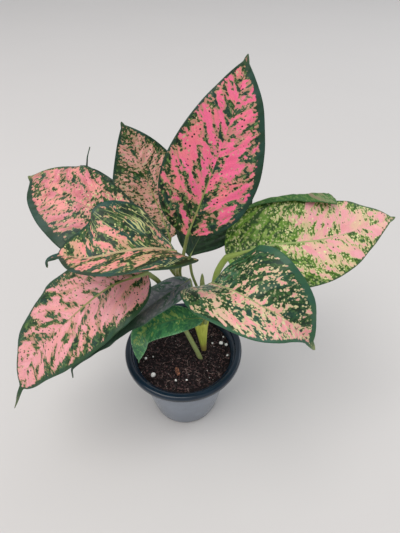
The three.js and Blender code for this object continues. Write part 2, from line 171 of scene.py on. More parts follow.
LEAVES = {
    "tall": {
        "slot": "pink_leaf",
        "stalk": [(15.4, 6.2, CROWN), (9, 10, 155), (-1, 14, 183), (3, 8, 213), (7, 5, 236)],
        "midrib": [(7, 5, 236), (20, 16, 268), (32, 29, 297), (44, 48, 327), (52, 71, 351)],
        "girth": 1.5,
        "width": 70,
        "face": (0.1, -0.75, 0.65),
        "left": half(12, -10, 0.52, 1, 1.07),
        "right": half(8, -10, 0.58, 1.05, 1.05),
        "tail": 0.02,
    },
    "back_left": {
        "slot": "pink_leaf",
        "stalk": [(17, 10, CROWN), (11, 15, 155), (-4, 27, 170), (-13, 40, 184), (-11, 46, 200)],
        "midrib": [(-11, 46, 200), (-24, 71, 222), (-38, 89, 253), (-53, 101, 288)],
        "girth": 1.5,
        "width": 72,
        "face": (0.1, -0.6, 0.8),
        "left": half(12, -15, 0.42, 0.9, 1.12),
        "right": half(10, -15, 0.6, 0.85),
        "tail": 0.02,
    },
    "left": {
        "slot": "pink_leaf",
        "stalk": [(13, 12, CROWN), (6, 13, 155), (-3, 19, 180), (-11, 21, 200), (-15, 22, 216)],
        "midrib": [(-15, 22, 216), (-44, 24, 231), (-83, 34, 247), (-115, 50, 252), (-135, 67, 253)],
        "girth": 1.5,
        "width": 88,
        "face": (0, -0.35, 0.94),
        "left": half(-6, -10, 0.6, 1.1),
        "right": half(-12, -5, 0.9, 0.42, 0.98),
        "tail": 0.02,
    },
    "near_left": {
        "slot": "mixed_leaf",
        "stalk": [(11, 8, CROWN), (5, 9, 155), (-3, 9, 188), (-2, 6, 206), (-3, 1, 222)],
        "midrib": [(-3, 1, 222), (-22, -12, 236), (-44, -21, 240), (-66, -24, 237), (-88, -17, 233),
                   (-101, -14.4, 227), (-103.6, -15.4, 220)],
        "girth": 1.7,
        "width": 88,
        "face": (-0.1, -0.07, 1),
        "left": half(20, 0, 0.4, 1.2),
        "right": half(28, 0, 0.7, 0.95),
        "tail": 0.275,
        "drip": 0.065,
    },
    "low_left": {
        "slot": "pink_leaf",
        "stalk": [(17, -7, 76), (17, -7, 84), (3, 0, 120), (-11, 6, 152), (-19, 7, 179), (-29, 6, 193)],
        "midrib": [(-29, 6, 193), (-62, -9, 189), (-99, -26, 164), (-132, -40, 132), (-156, -63, 85)],
        "girth": 2.3,
        "width": 90,
        "face": (-0.2, -0.5, 0.8),
        "left": half(8, -5, 0.4, 0.55, 0.88),
        "right": half(5, -15, 0.75, 0.78, 0.9),
        "tail": 0.1,
        "drip": 0.06,
    },
    "right": {
        "slot": "mixed_leaf",
        "stalk": [(24.5, 8.5, CROWN), (28, 10, 155), (31.5, 11.5, 184), (35.5, 12, 197), (40, 13, 205)],
        "midrib": [(40, 13, 205), (75, 18, 214), (122, 26, 214), (161, 40, 215), (199, 58, 215)],
        "girth": 2.9,
        "width": 82,
        "face": (-0.1, -0.5, 0.85),
        "left": half(12, -10, 0.45, 0.72),
        "right": half(4, -15, 0.6, 1.1),
        "tail": 0.02,
        "roll": {"half": "left", "start": 0.08, "end": 0.645, "rise": 5, "flap": 14, "turn": 165},
    },
    "near_right": {
        "slot": "mixed_leaf",
        "stalk": [(22, 3, CROWN), (22, 0, 155), (24, 1, 180), (28, -4, 190)],
        "midrib": [(28, -4, 190), (45, -29, 206), (64, -45, 207), (88, -51, 193), (111, -53, 163)],
        "girth": 1.7,
        "width": 88,
        "face": (0.25, -0.5, 0.85),
        "left": half(26, 0, 0.5, 0.8),
        "right": half(24, 0, 0.42, 1.15),
        "tail": 0.05,
        "drip": 0.07,
    },
    "low_dark": {
        "slot": "green_leaf",
        "stalk": [(13, 3, CROWN), (12, 4, 155), (8, 5, 186)],
        "midrib": [(8, 5, 186), (-14, -2, 173), (-48, -10, 146), (-82, -17, 112), (-108, -22, 92),
                   (-112.5, -25, 75)],
        "girth": 1.5,
        "width": 40,
        "face": (-0.3, -0.3, 0.9),
        "left": half(28, -10, 0.35, 1.3),
        "right": half(70, -10, 0.55, 0.95, 0.8),
        "tail": 0.28,
        "drip": 0.14,
    },
    "small_front": {
        "slot": "green_leaf",
        "stalk": [(17, 1, CROWN), (19, -3, 140), (20, -7, 147)],
        "midrib": [(20, -7, 147), (-9, -13, 151), (-35, -18, 138), (-42, -27, 105)],
        "girth": 1.2,
        "width": 33,
        "face": (-0.3, -0.3, 0.9),
        "left": half(8, -10, 0.6, 0.8, 0.85),
        "right": half(8, -10, 0.6, 0.6),
        "tail": 0.03,
    },
    "back_right": {
        "slot": "green_leaf",
        "stalk": [(22, 12, CROWN), (18, 13, 155), (10, 14, 183), (8, 13, 206)],
        "midrib": [(8, 13, 206), (22, 46, 217), (34, 84, 240), (47, 117, 268)],
        "girth": 1.3,
        "width": 74,
        "face": (0, -0.6, 0.8),
        "left": half(40, -10),
        "right": half(10, -10, 1.1, 0.95),
        "tail": 0.07,
    },
    "hidden_left": {
        "slot": "green_leaf",
        "stalk": [(17, 14, CROWN), (10, 20, 155), (-9, 32, 169), (-22, 42, 192)],
        "midrib": [(-22, 42, 192), (-42, 51, 202), (-66, 71, 223), (-86, 87, 245), (-86.7, 89, 257),
                   (-83.4, 95.3, 267)],
        "girth": 1.4,
        "width": 40,
        "face": (0, -0.6, 0.8),
        "left": half(10, -10),
        "right": half(10, -10),
        "tail": 0.32,
    },
}

# What each blade's pattern is set to. Colours are linear; shares and gains are parts of one;
# sizes of flecks, patches, margins and ribs are in millimetres.
PATTERN_DEFAULTS = {
    "Pink": (0.86, 0.21, 0.27), "Deep pink": (0.72, 0.14, 0.18), "Warm pink": (0.84, 0.30, 0.25),
    "Pale": (0.60, 0.44, 0.27), "Halo": (0.36, 0.24, 0.12), "Green": (0.020, 0.062, 0.010),
    "Dark green": (0.004, 0.018, 0.005), "Light green": (0.13, 0.22, 0.06),
    "Base green": (0.020, 0.062, 0.010), "Margin green": (0.010, 0.042, 0.018),
    # The teal colour and its share are painted sheen: the sky's reflection on glossy greens and margins.
    "Teal sheen": (0.018, 0.085, 0.075), "Tip": (0.07, 0.12, 0.05), "Midrib": (0.28, 0.30, 0.09),
    "Midrib tip": (0.55, 0.22, 0.17), "Underside": (0.12, 0.20, 0.09), "Stalk": (0.24, 0.30, 0.09),
    "Seed": 0.0, "Fleck width": 2.9, "Fleck length": 3.4, "Patch size": 9.0, "Patchiness": 1.0,
    "Green left": 0.2, "Green right": 0.2, "Green at base": 0.0, "Green at tip": 0.0,
    "Green at edge": 0.3, "Green at rib": 0.1, "Base reach": 0.4, "Pale share": 0.1,
    "Pale at base": 0.0, "Streaks": 0.0, "Specks": 0.12, "Dots": 0.08, "Teal sheen share": 0.3,
    "Tip share": 0.6, "Tip from": 0.89, "Halo width": 0.2, "Tan between": 0.7,
    "Margin at base": 0.6, "Margin left": 2.0, "Margin right": 2.0, "Rib width": 1.1,
    "Rib reach": 0.7, "Vein lines": 0.25,
}

PATTERNS = {
    "tall": {
        "Pink": (0.95, 0.17, 0.33), "Deep pink": (0.84, 0.125, 0.25),
        "Warm pink": (0.88, 0.21, 0.25), "Halo": (0.36, 0.25, 0.13),
        "Dark green": (0.002, 0.009, 0.003), "Light green": (0.16, 0.27, 0.07),
        "Seed": 3.1, "Fleck width": 2.3, "Fleck length": 2.9, "Patch size": 7.0, "Patchiness": 1.15,
        "Green at base": 0.34, "Green at tip": 0.15, "Green at edge": 0.34, "Green at rib": 0.18,
        "Base reach": 0.32, "Specks": 0.16, "Halo width": 0.26, "Tan between": 0.8,
        "Margin left": 1.8, "Margin right": 5.0, "Rib width": 0.8, "Rib reach": 0.45,
    },
    "back_left": {
        "Pink": (0.96, 0.44, 0.42), "Deep pink": (0.54, 0.24, 0.19),
        "Warm pink": (0.66, 0.38, 0.27), "Pale": (0.50, 0.42, 0.26), "Halo": (0.30, 0.24, 0.11),
        "Green": (0.018, 0.055, 0.010), "Dark green": (0.012, 0.036, 0.012),
        "Seed": 7.7, "Fleck width": 2.0, "Fleck length": 2.8, "Patchiness": 0.55,
        "Green left": 0.38, "Green right": 0.32, "Green at tip": 0.25, "Green at edge": 0.5,
        "Pale share": 0.3, "Specks": 0.3, "Tan between": 0.3, "Margin left": 2.4,
        "Margin right": 2.4, "Rib width": 0.8,
    },
    "left": {
        "Pink": (0.84, 0.27, 0.34), "Deep pink": (0.46, 0.13, 0.12),
        "Warm pink": (0.86, 0.31, 0.29), "Pale": (0.66, 0.58, 0.30), "Halo": (0.46, 0.32, 0.18),
        "Tip": (0.16, 0.21, 0.06),
        "Seed": 12.3, "Fleck width": 2.0, "Fleck length": 4.2, "Patchiness": 1.1,
        "Green left": 0.34, "Green right": 0.22, "Green at base": 0.28, "Green at edge": 0.55,
        "Base reach": 0.6, "Pale at base": 0.4, "Specks": 0.2, "Dots": 0.15, "Tip share": 0.7,
        "Tan between": 0.35, "Margin at base": 0.3, "Margin left": 7.0, "Margin right": 1.8,
        "Rib width": 0.8, "Rib reach": 0.35, "Vein lines": 0.5,
    },
    "near_left": {
        "Pink": (0.92, 0.36, 0.34), "Deep pink": (0.82, 0.24, 0.24),
        "Warm pink": (0.66, 0.38, 0.24), "Pale": (0.62, 0.62, 0.26), "Halo": (0.36, 0.28, 0.12),
        "Green": (0.020, 0.075, 0.012), "Dark green": (0.004, 0.020, 0.005),
        "Light green": (0.12, 0.20, 0.05), "Midrib": (0.55, 0.42, 0.24),
        "Midrib tip": (0.66, 0.34, 0.26),
        "Seed": 21.9, "Fleck width": 2.8, "Fleck length": 3.3, "Patchiness": 1.1, "Green left": 0.4,
        "Green right": 0.52, "Green at base": 0.18, "Green at edge": 0.35, "Green at rib": 0.0,
        "Base reach": 0.5, "Pale share": 0.03, "Streaks": 0.33, "Specks": 0.3, "Dots": 0.25,
        "Teal sheen share": 0.55, "Tan between": 0.25, "Margin left": 4.2, "Margin right": 3.0,
        "Rib width": 1.7, "Rib reach": 0.75, "Vein lines": 0.1,
    },
    "low_left": {
        "Pink": (0.95, 0.42, 0.46), "Deep pink": (0.76, 0.30, 0.32),
        "Warm pink": (0.86, 0.36, 0.34), "Green": (0.045, 0.105, 0.026),
        "Dark green": (0.008, 0.030, 0.010), "Margin green": (0.022, 0.066, 0.024),
        "Tip": (0.16, 0.18, 0.07), "Stalk": (0.36, 0.44, 0.18),
        "Seed": 33.4, "Fleck width": 2.1, "Fleck length": 4.4, "Patch size": 10.0,
        "Patchiness": 1.25, "Green left": 0.22, "Green right": 0.26, "Green at base": -0.16,
        "Green at tip": 0.05, "Green at edge": 0.62, "Pale share": 0.16, "Specks": 0.14,
        "Margin at base": 1.1, "Margin left": 3.4, "Margin right": 2.6, "Rib reach": 0.62,
        "Vein lines": 0.3,
    },
    "right": {
        "Pink": (0.90, 0.41, 0.45), "Deep pink": (0.84, 0.34, 0.36),
        "Warm pink": (0.80, 0.52, 0.36), "Pale": (0.78, 0.76, 0.38), "Halo": (0.55, 0.54, 0.24),
        "Green": (0.075, 0.17, 0.018), "Dark green": (0.028, 0.085, 0.008),
        "Light green": (0.32, 0.46, 0.10), "Base green": (0.17, 0.34, 0.035),
        "Margin green": (0.05, 0.11, 0.03), "Tip": (0.09, 0.15, 0.04), "Midrib": (0.34, 0.45, 0.15),
        "Midrib tip": (0.62, 0.46, 0.32), "Underside": (0.035, 0.13, 0.025),
        "Stalk": (0.30, 0.40, 0.08),
        "Seed": 41.6, "Fleck width": 2.1, "Fleck length": 5.2, "Patch size": 11.0,
        "Patchiness": 1.1, "Green left": 0.12, "Green right": 0.22, "Green at base": 0.85,
        "Green at edge": 0.55, "Green at rib": 0.0, "Base reach": 0.55, "Pale share": 0.05,
        "Pale at base": 0.8, "Streaks": 0.12, "Specks": 0.1, "Dots": 0.75, "Teal sheen share": 0.1,
        "Margin left": 1.4, "Margin right": 1.4, "Rib reach": 0.85, "Vein lines": 0.1,
    },
    "near_right": {
        "Pink": (0.92, 0.38, 0.40), "Deep pink": (0.84, 0.32, 0.32),
        "Warm pink": (0.80, 0.50, 0.38), "Pale": (0.70, 0.64, 0.36), "Halo": (0.54, 0.50, 0.26),
        "Green": (0.024, 0.082, 0.018), "Dark green": (0.008, 0.034, 0.011),
        "Light green": (0.07, 0.16, 0.04), "Base green": (0.08, 0.21, 0.10),
        "Margin green": (0.03, 0.11, 0.05), "Tip": (0.26, 0.30, 0.12), "Midrib": (0.40, 0.46, 0.20),
        "Midrib tip": (0.42, 0.40, 0.18),
        "Seed": 55.2, "Fleck width": 3.0, "Fleck length": 3.8, "Patch size": 7.0,
        "Green left": 0.72, "Green right": 0.42, "Green at base": 0.3, "Green at edge": 0.1,
        "Green at rib": -0.25, "Base reach": 0.28, "Pale share": 0.34, "Streaks": 0.12,
        "Specks": 0.1, "Dots": 0.5, "Teal sheen share": 0.35, "Tip share": 0.9, "Tan between": 0.25,
        "Margin left": 6.0, "Margin right": 2.8, "Rib width": 1.2, "Rib reach": 0.9,
        "Vein lines": 0.0,
    },
    # This leaf's greys are painted sheen, a soft grey reflection on a dark green leaf; its base and its tip keep their
    # own greens.
    "low_dark": {
        "Green": (0.30, 0.30, 0.31), "Dark green": (0.20, 0.21, 0.23),
        "Light green": (0.34, 0.34, 0.35), "Base green": (0.05, 0.13, 0.08),
        "Margin green": (0.12, 0.2, 0.16), "Tip": (0.030, 0.095, 0.055),
        "Midrib": (0.16, 0.22, 0.12), "Midrib tip": (0.16, 0.22, 0.12),
        "Underside": (0.08, 0.11, 0.07),
        "Seed": 61.0, "Patchiness": 0.0, "Green left": 1.4, "Green right": 1.4, "Dots": 0.0,
        "Teal sheen share": 0.1, "Tip share": 0.92, "Tip from": 0.27,
    },
    "small_front": {
        "Pink": (0.45, 0.62, 0.18), "Deep pink": (0.36, 0.54, 0.15),
        "Warm pink": (0.50, 0.64, 0.22), "Pale": (0.50, 0.64, 0.24), "Halo": (0.20, 0.36, 0.09),
        "Green": (0.08, 0.31, 0.11), "Dark green": (0.035, 0.18, 0.07),
        "Light green": (0.13, 0.38, 0.11), "Base green": (0.07, 0.24, 0.08),
        "Margin green": (0.22, 0.50, 0.24), "Tip": (0.10, 0.22, 0.12), "Midrib": (0.12, 0.22, 0.07),
        "Midrib tip": (0.06, 0.16, 0.06),
        "Seed": 70.5, "Fleck width": 1.8, "Fleck length": 4.0, "Green left": 1.02,
        "Green right": 0.9, "Green at tip": 0.6, "Green at edge": 0.4, "Green at rib": -0.2,
        "Specks": 0.0, "Dots": 0.12, "Margin left": 0.5, "Margin right": 0.5, "Rib width": 0.6,
    },
    "back_right": {
        "Green": (0.012, 0.045, 0.012), "Dark green": (0.006, 0.024, 0.007),
        "Light green": (0.02, 0.06, 0.02), "Base green": (0.012, 0.045, 0.012),
        "Margin green": (0.008, 0.028, 0.010), "Midrib": (0.12, 0.16, 0.05),
        "Midrib tip": (0.05, 0.09, 0.03),
        "Seed": 83.3, "Patchiness": 0.0, "Green left": 1.4, "Green right": 1.4, "Dots": 0.0,
        "Teal sheen share": 0.1, "Tip share": 0.0, "Rib width": 0.6,
    },
    "hidden_left": {
        "Seed": 90.8, "Patchiness": 0.5, "Green left": 0.75, "Green right": 0.7,
        "Green at tip": 1.0,
    },
}

SPEAR_PATH = [(19.6, 6.2, CROWN), (20, 9, 150), (19, 11, 175), (19, 13, 186)]
PERLITE = [f"perlite_{number}" for number in range(1, 11)]

# ---- settings that a user would change ----------------------------------------------------------


def length(name, description, default):
    """A size in metres, shown in the scene's own unit."""
    return FloatProperty(
        name=name,
        description=description,
        default=default,
        min=0,
        subtype="DISTANCE",
        unit="LENGTH",
        precision=5,
    )


def colour(name, description, default):
    """A linear colour."""
    return FloatVectorProperty(
        name=name, description=description, default=default, min=0, max=1, size=3, subtype="COLOR"
    )


class EVERGREEN_PG_leaves(bpy.types.PropertyGroup):
    """Sizes of the blades and their relief."""

    rows: IntProperty(name="Rows", description="Steps along a blade", default=130, min=12)
    columns: IntProperty(name="Columns", description="Steps across half a blade", default=44, min=4)
    thickness: length("Thickness", "Thickness of a blade beside its midrib", 0.0008)
    vein_spacing: length("Vein spacing", "From one side vein to the next", VEIN_STEP * MM)
    vein_depth: length("Vein depth", "How far the side veins sink in", 0.00022)
    rib_height: length("Rib height", "How far the midrib stands up", 0.0004)
    ripple: length("Edge ripple", "How far the margins wave", 0.0007)


class EVERGREEN_PG_pot(bpy.types.PropertyGroup):
    """Sizes and colours of the nursery pot."""

    rim_radius: length("Rim radius", "Outside radius of the rim", float(POT_TOP[0]))
    mouth_radius: length("Mouth radius", "Inside radius of the rim", 0.053)
    neck_radius: length("Neck radius", "Outside radius of the body under the rim", 0.0515)
    foot_radius: length("Foot radius", "Outside radius at the foot", 0.037)
    height: length("Height", "Height of the pot", float(POT_TOP[2]))
    rim_height: length("Rim height", "Height of the rim band", 0.0065)
    wall: length("Wall", "Thickness of the wall", 0.0015)
    drain_radius: length("Drain radius", "Radius of each drain hole", 0.0025)
    drain_circle: length("Drain circle", "Radius of the circle of drain holes", 0.024)
    sides: IntProperty(name="Sides", description="Sides of the turned shape", default=128, min=12)
    rim_colour: colour("Rim colour", "Colour of the rim", (0.006, 0.016, 0.030))
    # The body's grey is partly painted reflection of the pale floor.
    body_colour_and_reflection: colour("Body colour", "Colour of the body", (0.20, 0.235, 0.29))


class EVERGREEN_PG_soil(bpy.types.PropertyGroup):
    """The potting soil and what lies on it."""

    roughness: length("Roughness", "Height of the lumps in the soil's top", 0.0011)
    crumbs: FloatProperty(name="Crumbs", description="Crumbs per square metre", default=360000)
    fibres: FloatProperty(name="Fibres", description="Fibres per square metre", default=30000)
    specks: FloatProperty(name="Specks", description="Fine perlite per square metre", default=7000)
    colour: colour("Soil colour", "Colour of the moist soil", (0.020, 0.012, 0.014))


class EVERGREEN_PG_stage(bpy.types.PropertyGroup):
    """Floor, light and camera."""

    floor_colour: colour("Floor colour", "Colour of the floor", (0.66, 0.64, 0.63))
    sky: FloatProperty(name="Sky", description="Strength of the even light", default=0.62, min=0)
    key: FloatProperty(
        name="Key", description="Power of the large soft light", default=42, min=0, unit="POWER"
    )
    camera_place: FloatVectorProperty(
        name="Camera place",
        description="Where the camera stands",
        default=(0.017, -0.246, 0.436),
        subtype="XYZ",
        unit="LENGTH",
    )
    camera_pitch: FloatProperty(
        name="Camera pitch",
        description="How far the camera tips up from straight down",
        default=math.radians(47),
        subtype="ANGLE",
        unit="ROTATION",
    )
    lens: FloatProperty(name="Lens", description="Focal length in millimetres", default=27, min=10)


# ---- node trees ---------------------------------------------------------------------------------


def opaque(rgb):
    """A colour with its alpha. A socket stays as it is."""
    return rgb if isinstance(rgb, bpy.types.NodeSocket) else (*rgb, 1.0)


def plain(value):
    """A setting as its socket takes it: a colour gets its alpha."""
    return opaque(value) if isinstance(value, tuple) else value


class Wiring:
    """Adds nodes to a tree. An input takes another node's socket or a plain value."""

    def __init__(self, tree):
        self.tree = tree

    def give(self, socket, value):
        """Links another socket in, or sets a plain value."""
        if isinstance(value, bpy.types.NodeSocket):
            self.tree.links.new(value, socket)
        else:
            socket.default_value = value

    def add(self, kind, inputs=None, **settings):
        """Adds a node of that kind, sets what it is set to and fills its inputs."""
        node = self.tree.nodes.new(kind)
        for name, value in settings.items():
            setattr(node, name, value)
        for name, value in (inputs or {}).items():
            self.give(node.inputs[name], value)
        return node

    def first(self, kind, inputs=None, **settings):
        """Adds a node and gives its first output."""
        return self.add(kind, inputs, **settings).outputs[0]

    def sum(self, *values, operation="ADD"):
        """Folds values together with one operation, two at a time."""
        total = values[0]
        for value in values[1:]:
            total = self.first("ShaderNodeMath", {0: total, 1: value}, operation=operation)
        return total

    def times(self, *values):
        """The product."""
        return self.sum(*values, operation="MULTIPLY")

    def less(self, value, taken):
        """The value with something taken off."""
        return self.sum(value, taken, operation="SUBTRACT")

    def over(self, value, divisor):
        """The value divided."""
        return self.sum(value, divisor, operation="DIVIDE")

    def ease(self, value, start, end, low=0.0, high=1.0, kind="SMOOTHSTEP"):
        """Goes smoothly from low to high as the value goes from start to end."""
        inputs = {"Value": value, "From Min": start, "From Max": end, "To Min": low, "To Max": high}
        return self.add("ShaderNodeMapRange", inputs, interpolation_type=kind).outputs["Result"]

    def ramp(self, value, start, end, low=0.0, high=1.0):
        """Goes straight from low to high as the value goes from start to end."""
        return self.ease(value, start, end, low, high, "LINEAR")

    def blend(self, factor, first, second):
        """The first colour where the factor is 0, the second where it is 1."""
        inputs = {0: factor, 6: opaque(first), 7: opaque(second)}
        return self.add("ShaderNodeMix", inputs, data_type="RGBA").outputs[2]

    def choose(self, factor, first, second):
        """The first number where the factor is 0, the second where it is 1."""
        return self.first("ShaderNodeMix", {0: factor, 2: first, 3: second}, data_type="FLOAT")

    def place(self, x, y, z):
        """A vector from its three parts."""
        return self.first("ShaderNodeCombineXYZ", {0: x, 1: y, 2: z})

    def parts(self, vector):
        """The three parts of a vector."""
        return self.add("ShaderNodeSeparateXYZ", {0: vector}).outputs

    def from_axis(self, x, y):
        """How far a place is from the pot's axis."""
        flat = {0: self.place(x, y, 0.0)}
        return self.add("ShaderNodeVectorMath", flat, operation="LENGTH").outputs["Value"]

    def object_place(self):
        """Where a point lies in its object, read by a material."""
        return self.add("ShaderNodeTexCoord").outputs["Object"]

    def noise(self, vector, scale, detail=2.0, roughness=0.5, spread=2.2):
        """Noise stretched so that its values spread over 0 to 1."""
        inputs = {"Vector": vector, "Scale": scale, "Detail": detail, "Roughness": roughness}
        values = self.first("ShaderNodeTexNoise", inputs)
        return self.ramp(values, 0.5 - 0.5 / spread, 0.5 + 0.5 / spread)

    def ribs(self, x, y, z, along):
        """Noise that is fine around an upright stalk and drawn out along it."""
        around = 900
        spot = self.place(self.times(x, around), self.times(y, around), self.times(z, along))
        return self.noise(spot, 1.0, detail=3)

    def bump(self, strength, distance, height):
        """A normal that leans as the height rises and falls."""
        inputs = {"Strength": strength, "Distance": distance, "Height": height}
        return self.first("ShaderNodeBump", inputs)

    def attribute(self, name):
        """A vector stored on the mesh, read by a material."""
        return self.add("ShaderNodeAttribute", attribute_name=name).outputs["Vector"]

    def measure(self, name):
        """A number stored on the mesh, read by a geometry tree."""
        return self.first("GeometryNodeInputNamedAttribute", {"Name": name}, data_type="FLOAT")

    def random(self, kind, low, high, seed=0):
        """A random value of that kind at each point."""
        node = self.add("FunctionNodeRandomValue", data_type=kind)
        given = {"Min": low, "Max": high, "Seed": seed}
        for socket in node.inputs:
            if socket.enabled and socket.name in given:
                self.give(socket, given[socket.name])
        return next(socket for socket in node.outputs if socket.enabled)


SOCKET_TYPES = {int: "NodeSocketInt", float: "NodeSocketFloat", tuple: "NodeSocketColor"}


def new_group(name, kind, inputs):
    """A node group whose inputs are given by their defaults, or by a socket type that has none."""
    tree = bpy.data.node_groups.new(name, kind)
    for title, value in inputs.items():
        bare = isinstance(value, str)
        socket_type = value if bare else SOCKET_TYPES[type(value)]
        socket = tree.interface.new_socket(title, in_out="INPUT", socket_type=socket_type)
        if not bare:
            socket.default_value = plain(value)
    return tree


def blade_pattern():
    """The group that paints a variegated blade from the attributes of its own surface."""
    tree = new_group("Variegated blade", "ShaderNodeTree", PATTERN_DEFAULTS)
    for name, kind in (("Colour", tuple), ("Roughness", float), ("Height", float)):
        tree.interface.new_socket(name, in_out="OUTPUT", socket_type=SOCKET_TYPES[kind])
    wire = Wiring(tree)
    given = wire.add("NodeGroupInput").outputs

    along, out, side = wire.parts(wire.attribute("vein"))
    share, across, rim = wire.parts(wire.attribute("blade"))
    under, stalk, _ = wire.parts(wire.attribute("skin"))
    on_right = wire.ease(side, -0.5, 0.5)
    seed = wire.sum(given["Seed"], wire.times(side, 7.3))

    # Millimetres along the side veins, bent a little so that no two flecks line up.
    out_mm = wire.times(out, 1 / MM)
    straight = wire.times(along, 1 / MM)
    sway = wire.noise(wire.place(straight, out_mm, seed), 0.09, detail=1)
    along_mm = wire.sum(straight, wire.times(sway, 5))
    lean = wire.times(out_mm, wire.sum(0.45, wire.times(out_mm, VEIN_BOW)))
    upright_mm = wire.sum(straight, lean, sway)

    def over_blade(wide, long, shift, start=along_mm, **noise):
        """Noise whose grain is that wide across the side veins and that long along them."""
        spot = wire.place(wire.over(start, wide), wire.over(out_mm, long), wire.sum(seed, shift))
        return wire.noise(spot, 1.0, **noise)

    fleck = given["Fleck width"], given["Fleck length"]
    flecks = over_blade(*fleck, 0, upright_mm, detail=3, roughness=0.55)
    patches = over_blade(given["Patch size"], wire.times(given["Patch size"], 1.3), 20, detail=1)
    tint = over_blade(6.0, 9.0, 40, detail=2)
    warmth = over_blade(14.0, 18.0, 60, detail=1)
    pale_spots = over_blade(2.8, 3.4, 80, upright_mm, detail=2)
    streaks = over_blade(1.4, 15.0, 100, detail=1.5)
    fine = over_blade(0.8, 0.8, 120, upright_mm, detail=3)

    # How much of each place is green.
    near_base = wire.ease(share, given["Base reach"], wire.times(given["Base reach"], 0.35))
    near_tip = wire.ease(share, 0.8, 0.97)
    near_edge = wire.ease(across, 0.6, 1.0)
    near_rib = wire.ease(out_mm, 8.0, 1.0)
    green_share = wire.sum(
        wire.choose(on_right, given["Green left"], given["Green right"]),
        wire.times(near_base, given["Green at base"]),
        wire.times(near_tip, given["Green at tip"]),
        wire.times(near_edge, given["Green at edge"]),
        wire.times(near_rib, given["Green at rib"]),
        wire.times(wire.less(patches, 0.5), given["Patchiness"]),
    )
    over = wire.less(flecks, green_share)
    green_here = wire.ease(over, 0.025, -0.025)
    halo_here = wire.ease(over, wire.sum(given["Halo width"], 0.03), 0.01)
    deep_inside = wire.ease(over, -0.1, -0.22)

    # The ground between the flecks: pinks, pale spots, darker side veins, tan close to the green.
    ground = wire.blend(tint, given["Pink"], given["Deep pink"])
    ground = wire.blend(wire.ease(warmth, 0.35, 0.9), ground, given["Warm pink"])
    pale_share = wire.sum(given["Pale share"], wire.times(near_base, given["Pale at base"]))
    pale_here = wire.ease(wire.less(pale_spots, pale_share), 0.08, -0.08)
    ground = wire.blend(pale_here, ground, given["Pale"])
    phase = wire.sum(wire.times(straight, 1 / VEIN_STEP), wire.times(side, VEIN_SHIFT))
    wave = wire.first("ShaderNodeMath", {0: wire.times(phase, 2 * math.pi)}, operation="COSINE")
    line = wire.times(wire.ease(wave, 0.9, 1.0), given["Vein lines"])
    ground = wire.blend(line, ground, given["Deep pink"])
    crowded = wire.times(wire.ease(green_share, 0.15, 0.55), given["Tan between"])
    ground = wire.blend(wire.sum(crowded, halo_here, operation="MAXIMUM"), ground, given["Halo"])
    spots = wire.place(upright_mm, out_mm, seed)
    cells = wire.add("ShaderNodeTexVoronoi", {"Vector": spots, "Scale": 0.45})
    chance = wire.parts(cells.outputs["Color"])[0]
    speck_share = wire.times(given["Specks"], wire.ease(warmth, 0.1, 0.6, 0.5, 1.5))
    speck_here = wire.times(
        wire.ease(cells.outputs["Distance"], 0.36, 0.26),
        wire.ease(wire.less(chance, speck_share), 0.01, -0.01),
    )
    ground = wire.blend(speck_here, ground, given["Dark green"])

    # The greens: darker or lighter inside a fleck, painted teal sheen here and there for the sky's reflection on the
    # gloss, pale streaks at the base.
    green = wire.blend(near_base, given["Green"], given["Base green"])
    green = wire.blend(wire.times(deep_inside, wire.ease(tint, 0.3, 0.6)), green, given["Dark green"])
    lit = wire.times(deep_inside, wire.ease(pale_spots, 0.4, 0.25))
    green = wire.blend(wire.times(lit, 0.8), green, given["Light green"])
    teal_sheen_here = wire.times(wire.ease(warmth, 0.55, 0.2), given["Teal sheen share"])
    green = wire.blend(teal_sheen_here, green, given["Teal sheen"])
    streaked = wire.times(
        wire.ease(share, wire.times(given["Base reach"], 1.5), 0.1),
        wire.choose(on_right, 0.15, 1.0),
        given["Streaks"],
    )
    streak_here = wire.ease(wire.less(streaks, streaked), 0.06, -0.06)
    green = wire.blend(wire.times(streak_here, 0.85), green, given["Pale"])
    dots_here = wire.times(
        wire.ease(cells.outputs["Distance"], 0.42, 0.3),
        wire.ease(wire.sum(chance, given["Dots"]), 0.99, 1.01),
        wire.ease(green_share, 0.95, 0.6, 0.4, 1.0),
    )
    green = wire.blend(dots_here, green, given["Pale"])
    painted = wire.blend(green_here, ground, green)

    # Margin, tip and midrib.
    margin = wire.times(
        wire.choose(on_right, given["Margin left"], given["Margin right"]),
        wire.ease(share, 0.05, 0.55, given["Margin at base"], 1.0),
    )
    rim_mm = wire.sum(wire.times(rim, 1 / MM), wire.times(wire.less(flecks, 0.5), 3.0))
    # The margin takes the painted teal sheen too.
    edge_green = wire.blend(teal_sheen_here, given["Margin green"], given["Teal sheen"])
    painted = wire.blend(wire.ease(wire.less(rim_mm, margin), 0.6, -0.4), painted, edge_green)
    tip_from = given["Tip from"]
    at_tip = wire.ease(wire.sum(share, wire.times(flecks, -0.05)), tip_from, wire.sum(tip_from, 0.08))
    painted = wire.blend(wire.times(at_tip, given["Tip share"]), painted, given["Tip"])
    rib = wire.times(given["Rib width"], wire.ramp(share, 0.0, 1.0, 1.0, 0.35))
    on_rib = wire.ease(wire.less(out_mm, rib), 0.35, -0.35)
    rib_lasts = wire.ease(share, given["Rib reach"], wire.times(given["Rib reach"], 0.55))
    rib_colour = wire.blend(wire.ease(share, 0.35, 0.8), given["Midrib"], given["Midrib tip"])
    painted = wire.blend(wire.times(on_rib, rib_lasts), painted, rib_colour)

    # Underside and stalk.
    dull = wire.blend(0.76, painted, given["Underside"])
    painted = wire.blend(under, painted, dull)
    ridges = wire.noise(wire.object_place(), 300, detail=3)
    stalk_light = wire.blend(wire.times(ridges, 0.5), given["Stalk"], given["Midrib"])
    painted = wire.blend(stalk, painted, stalk_light)

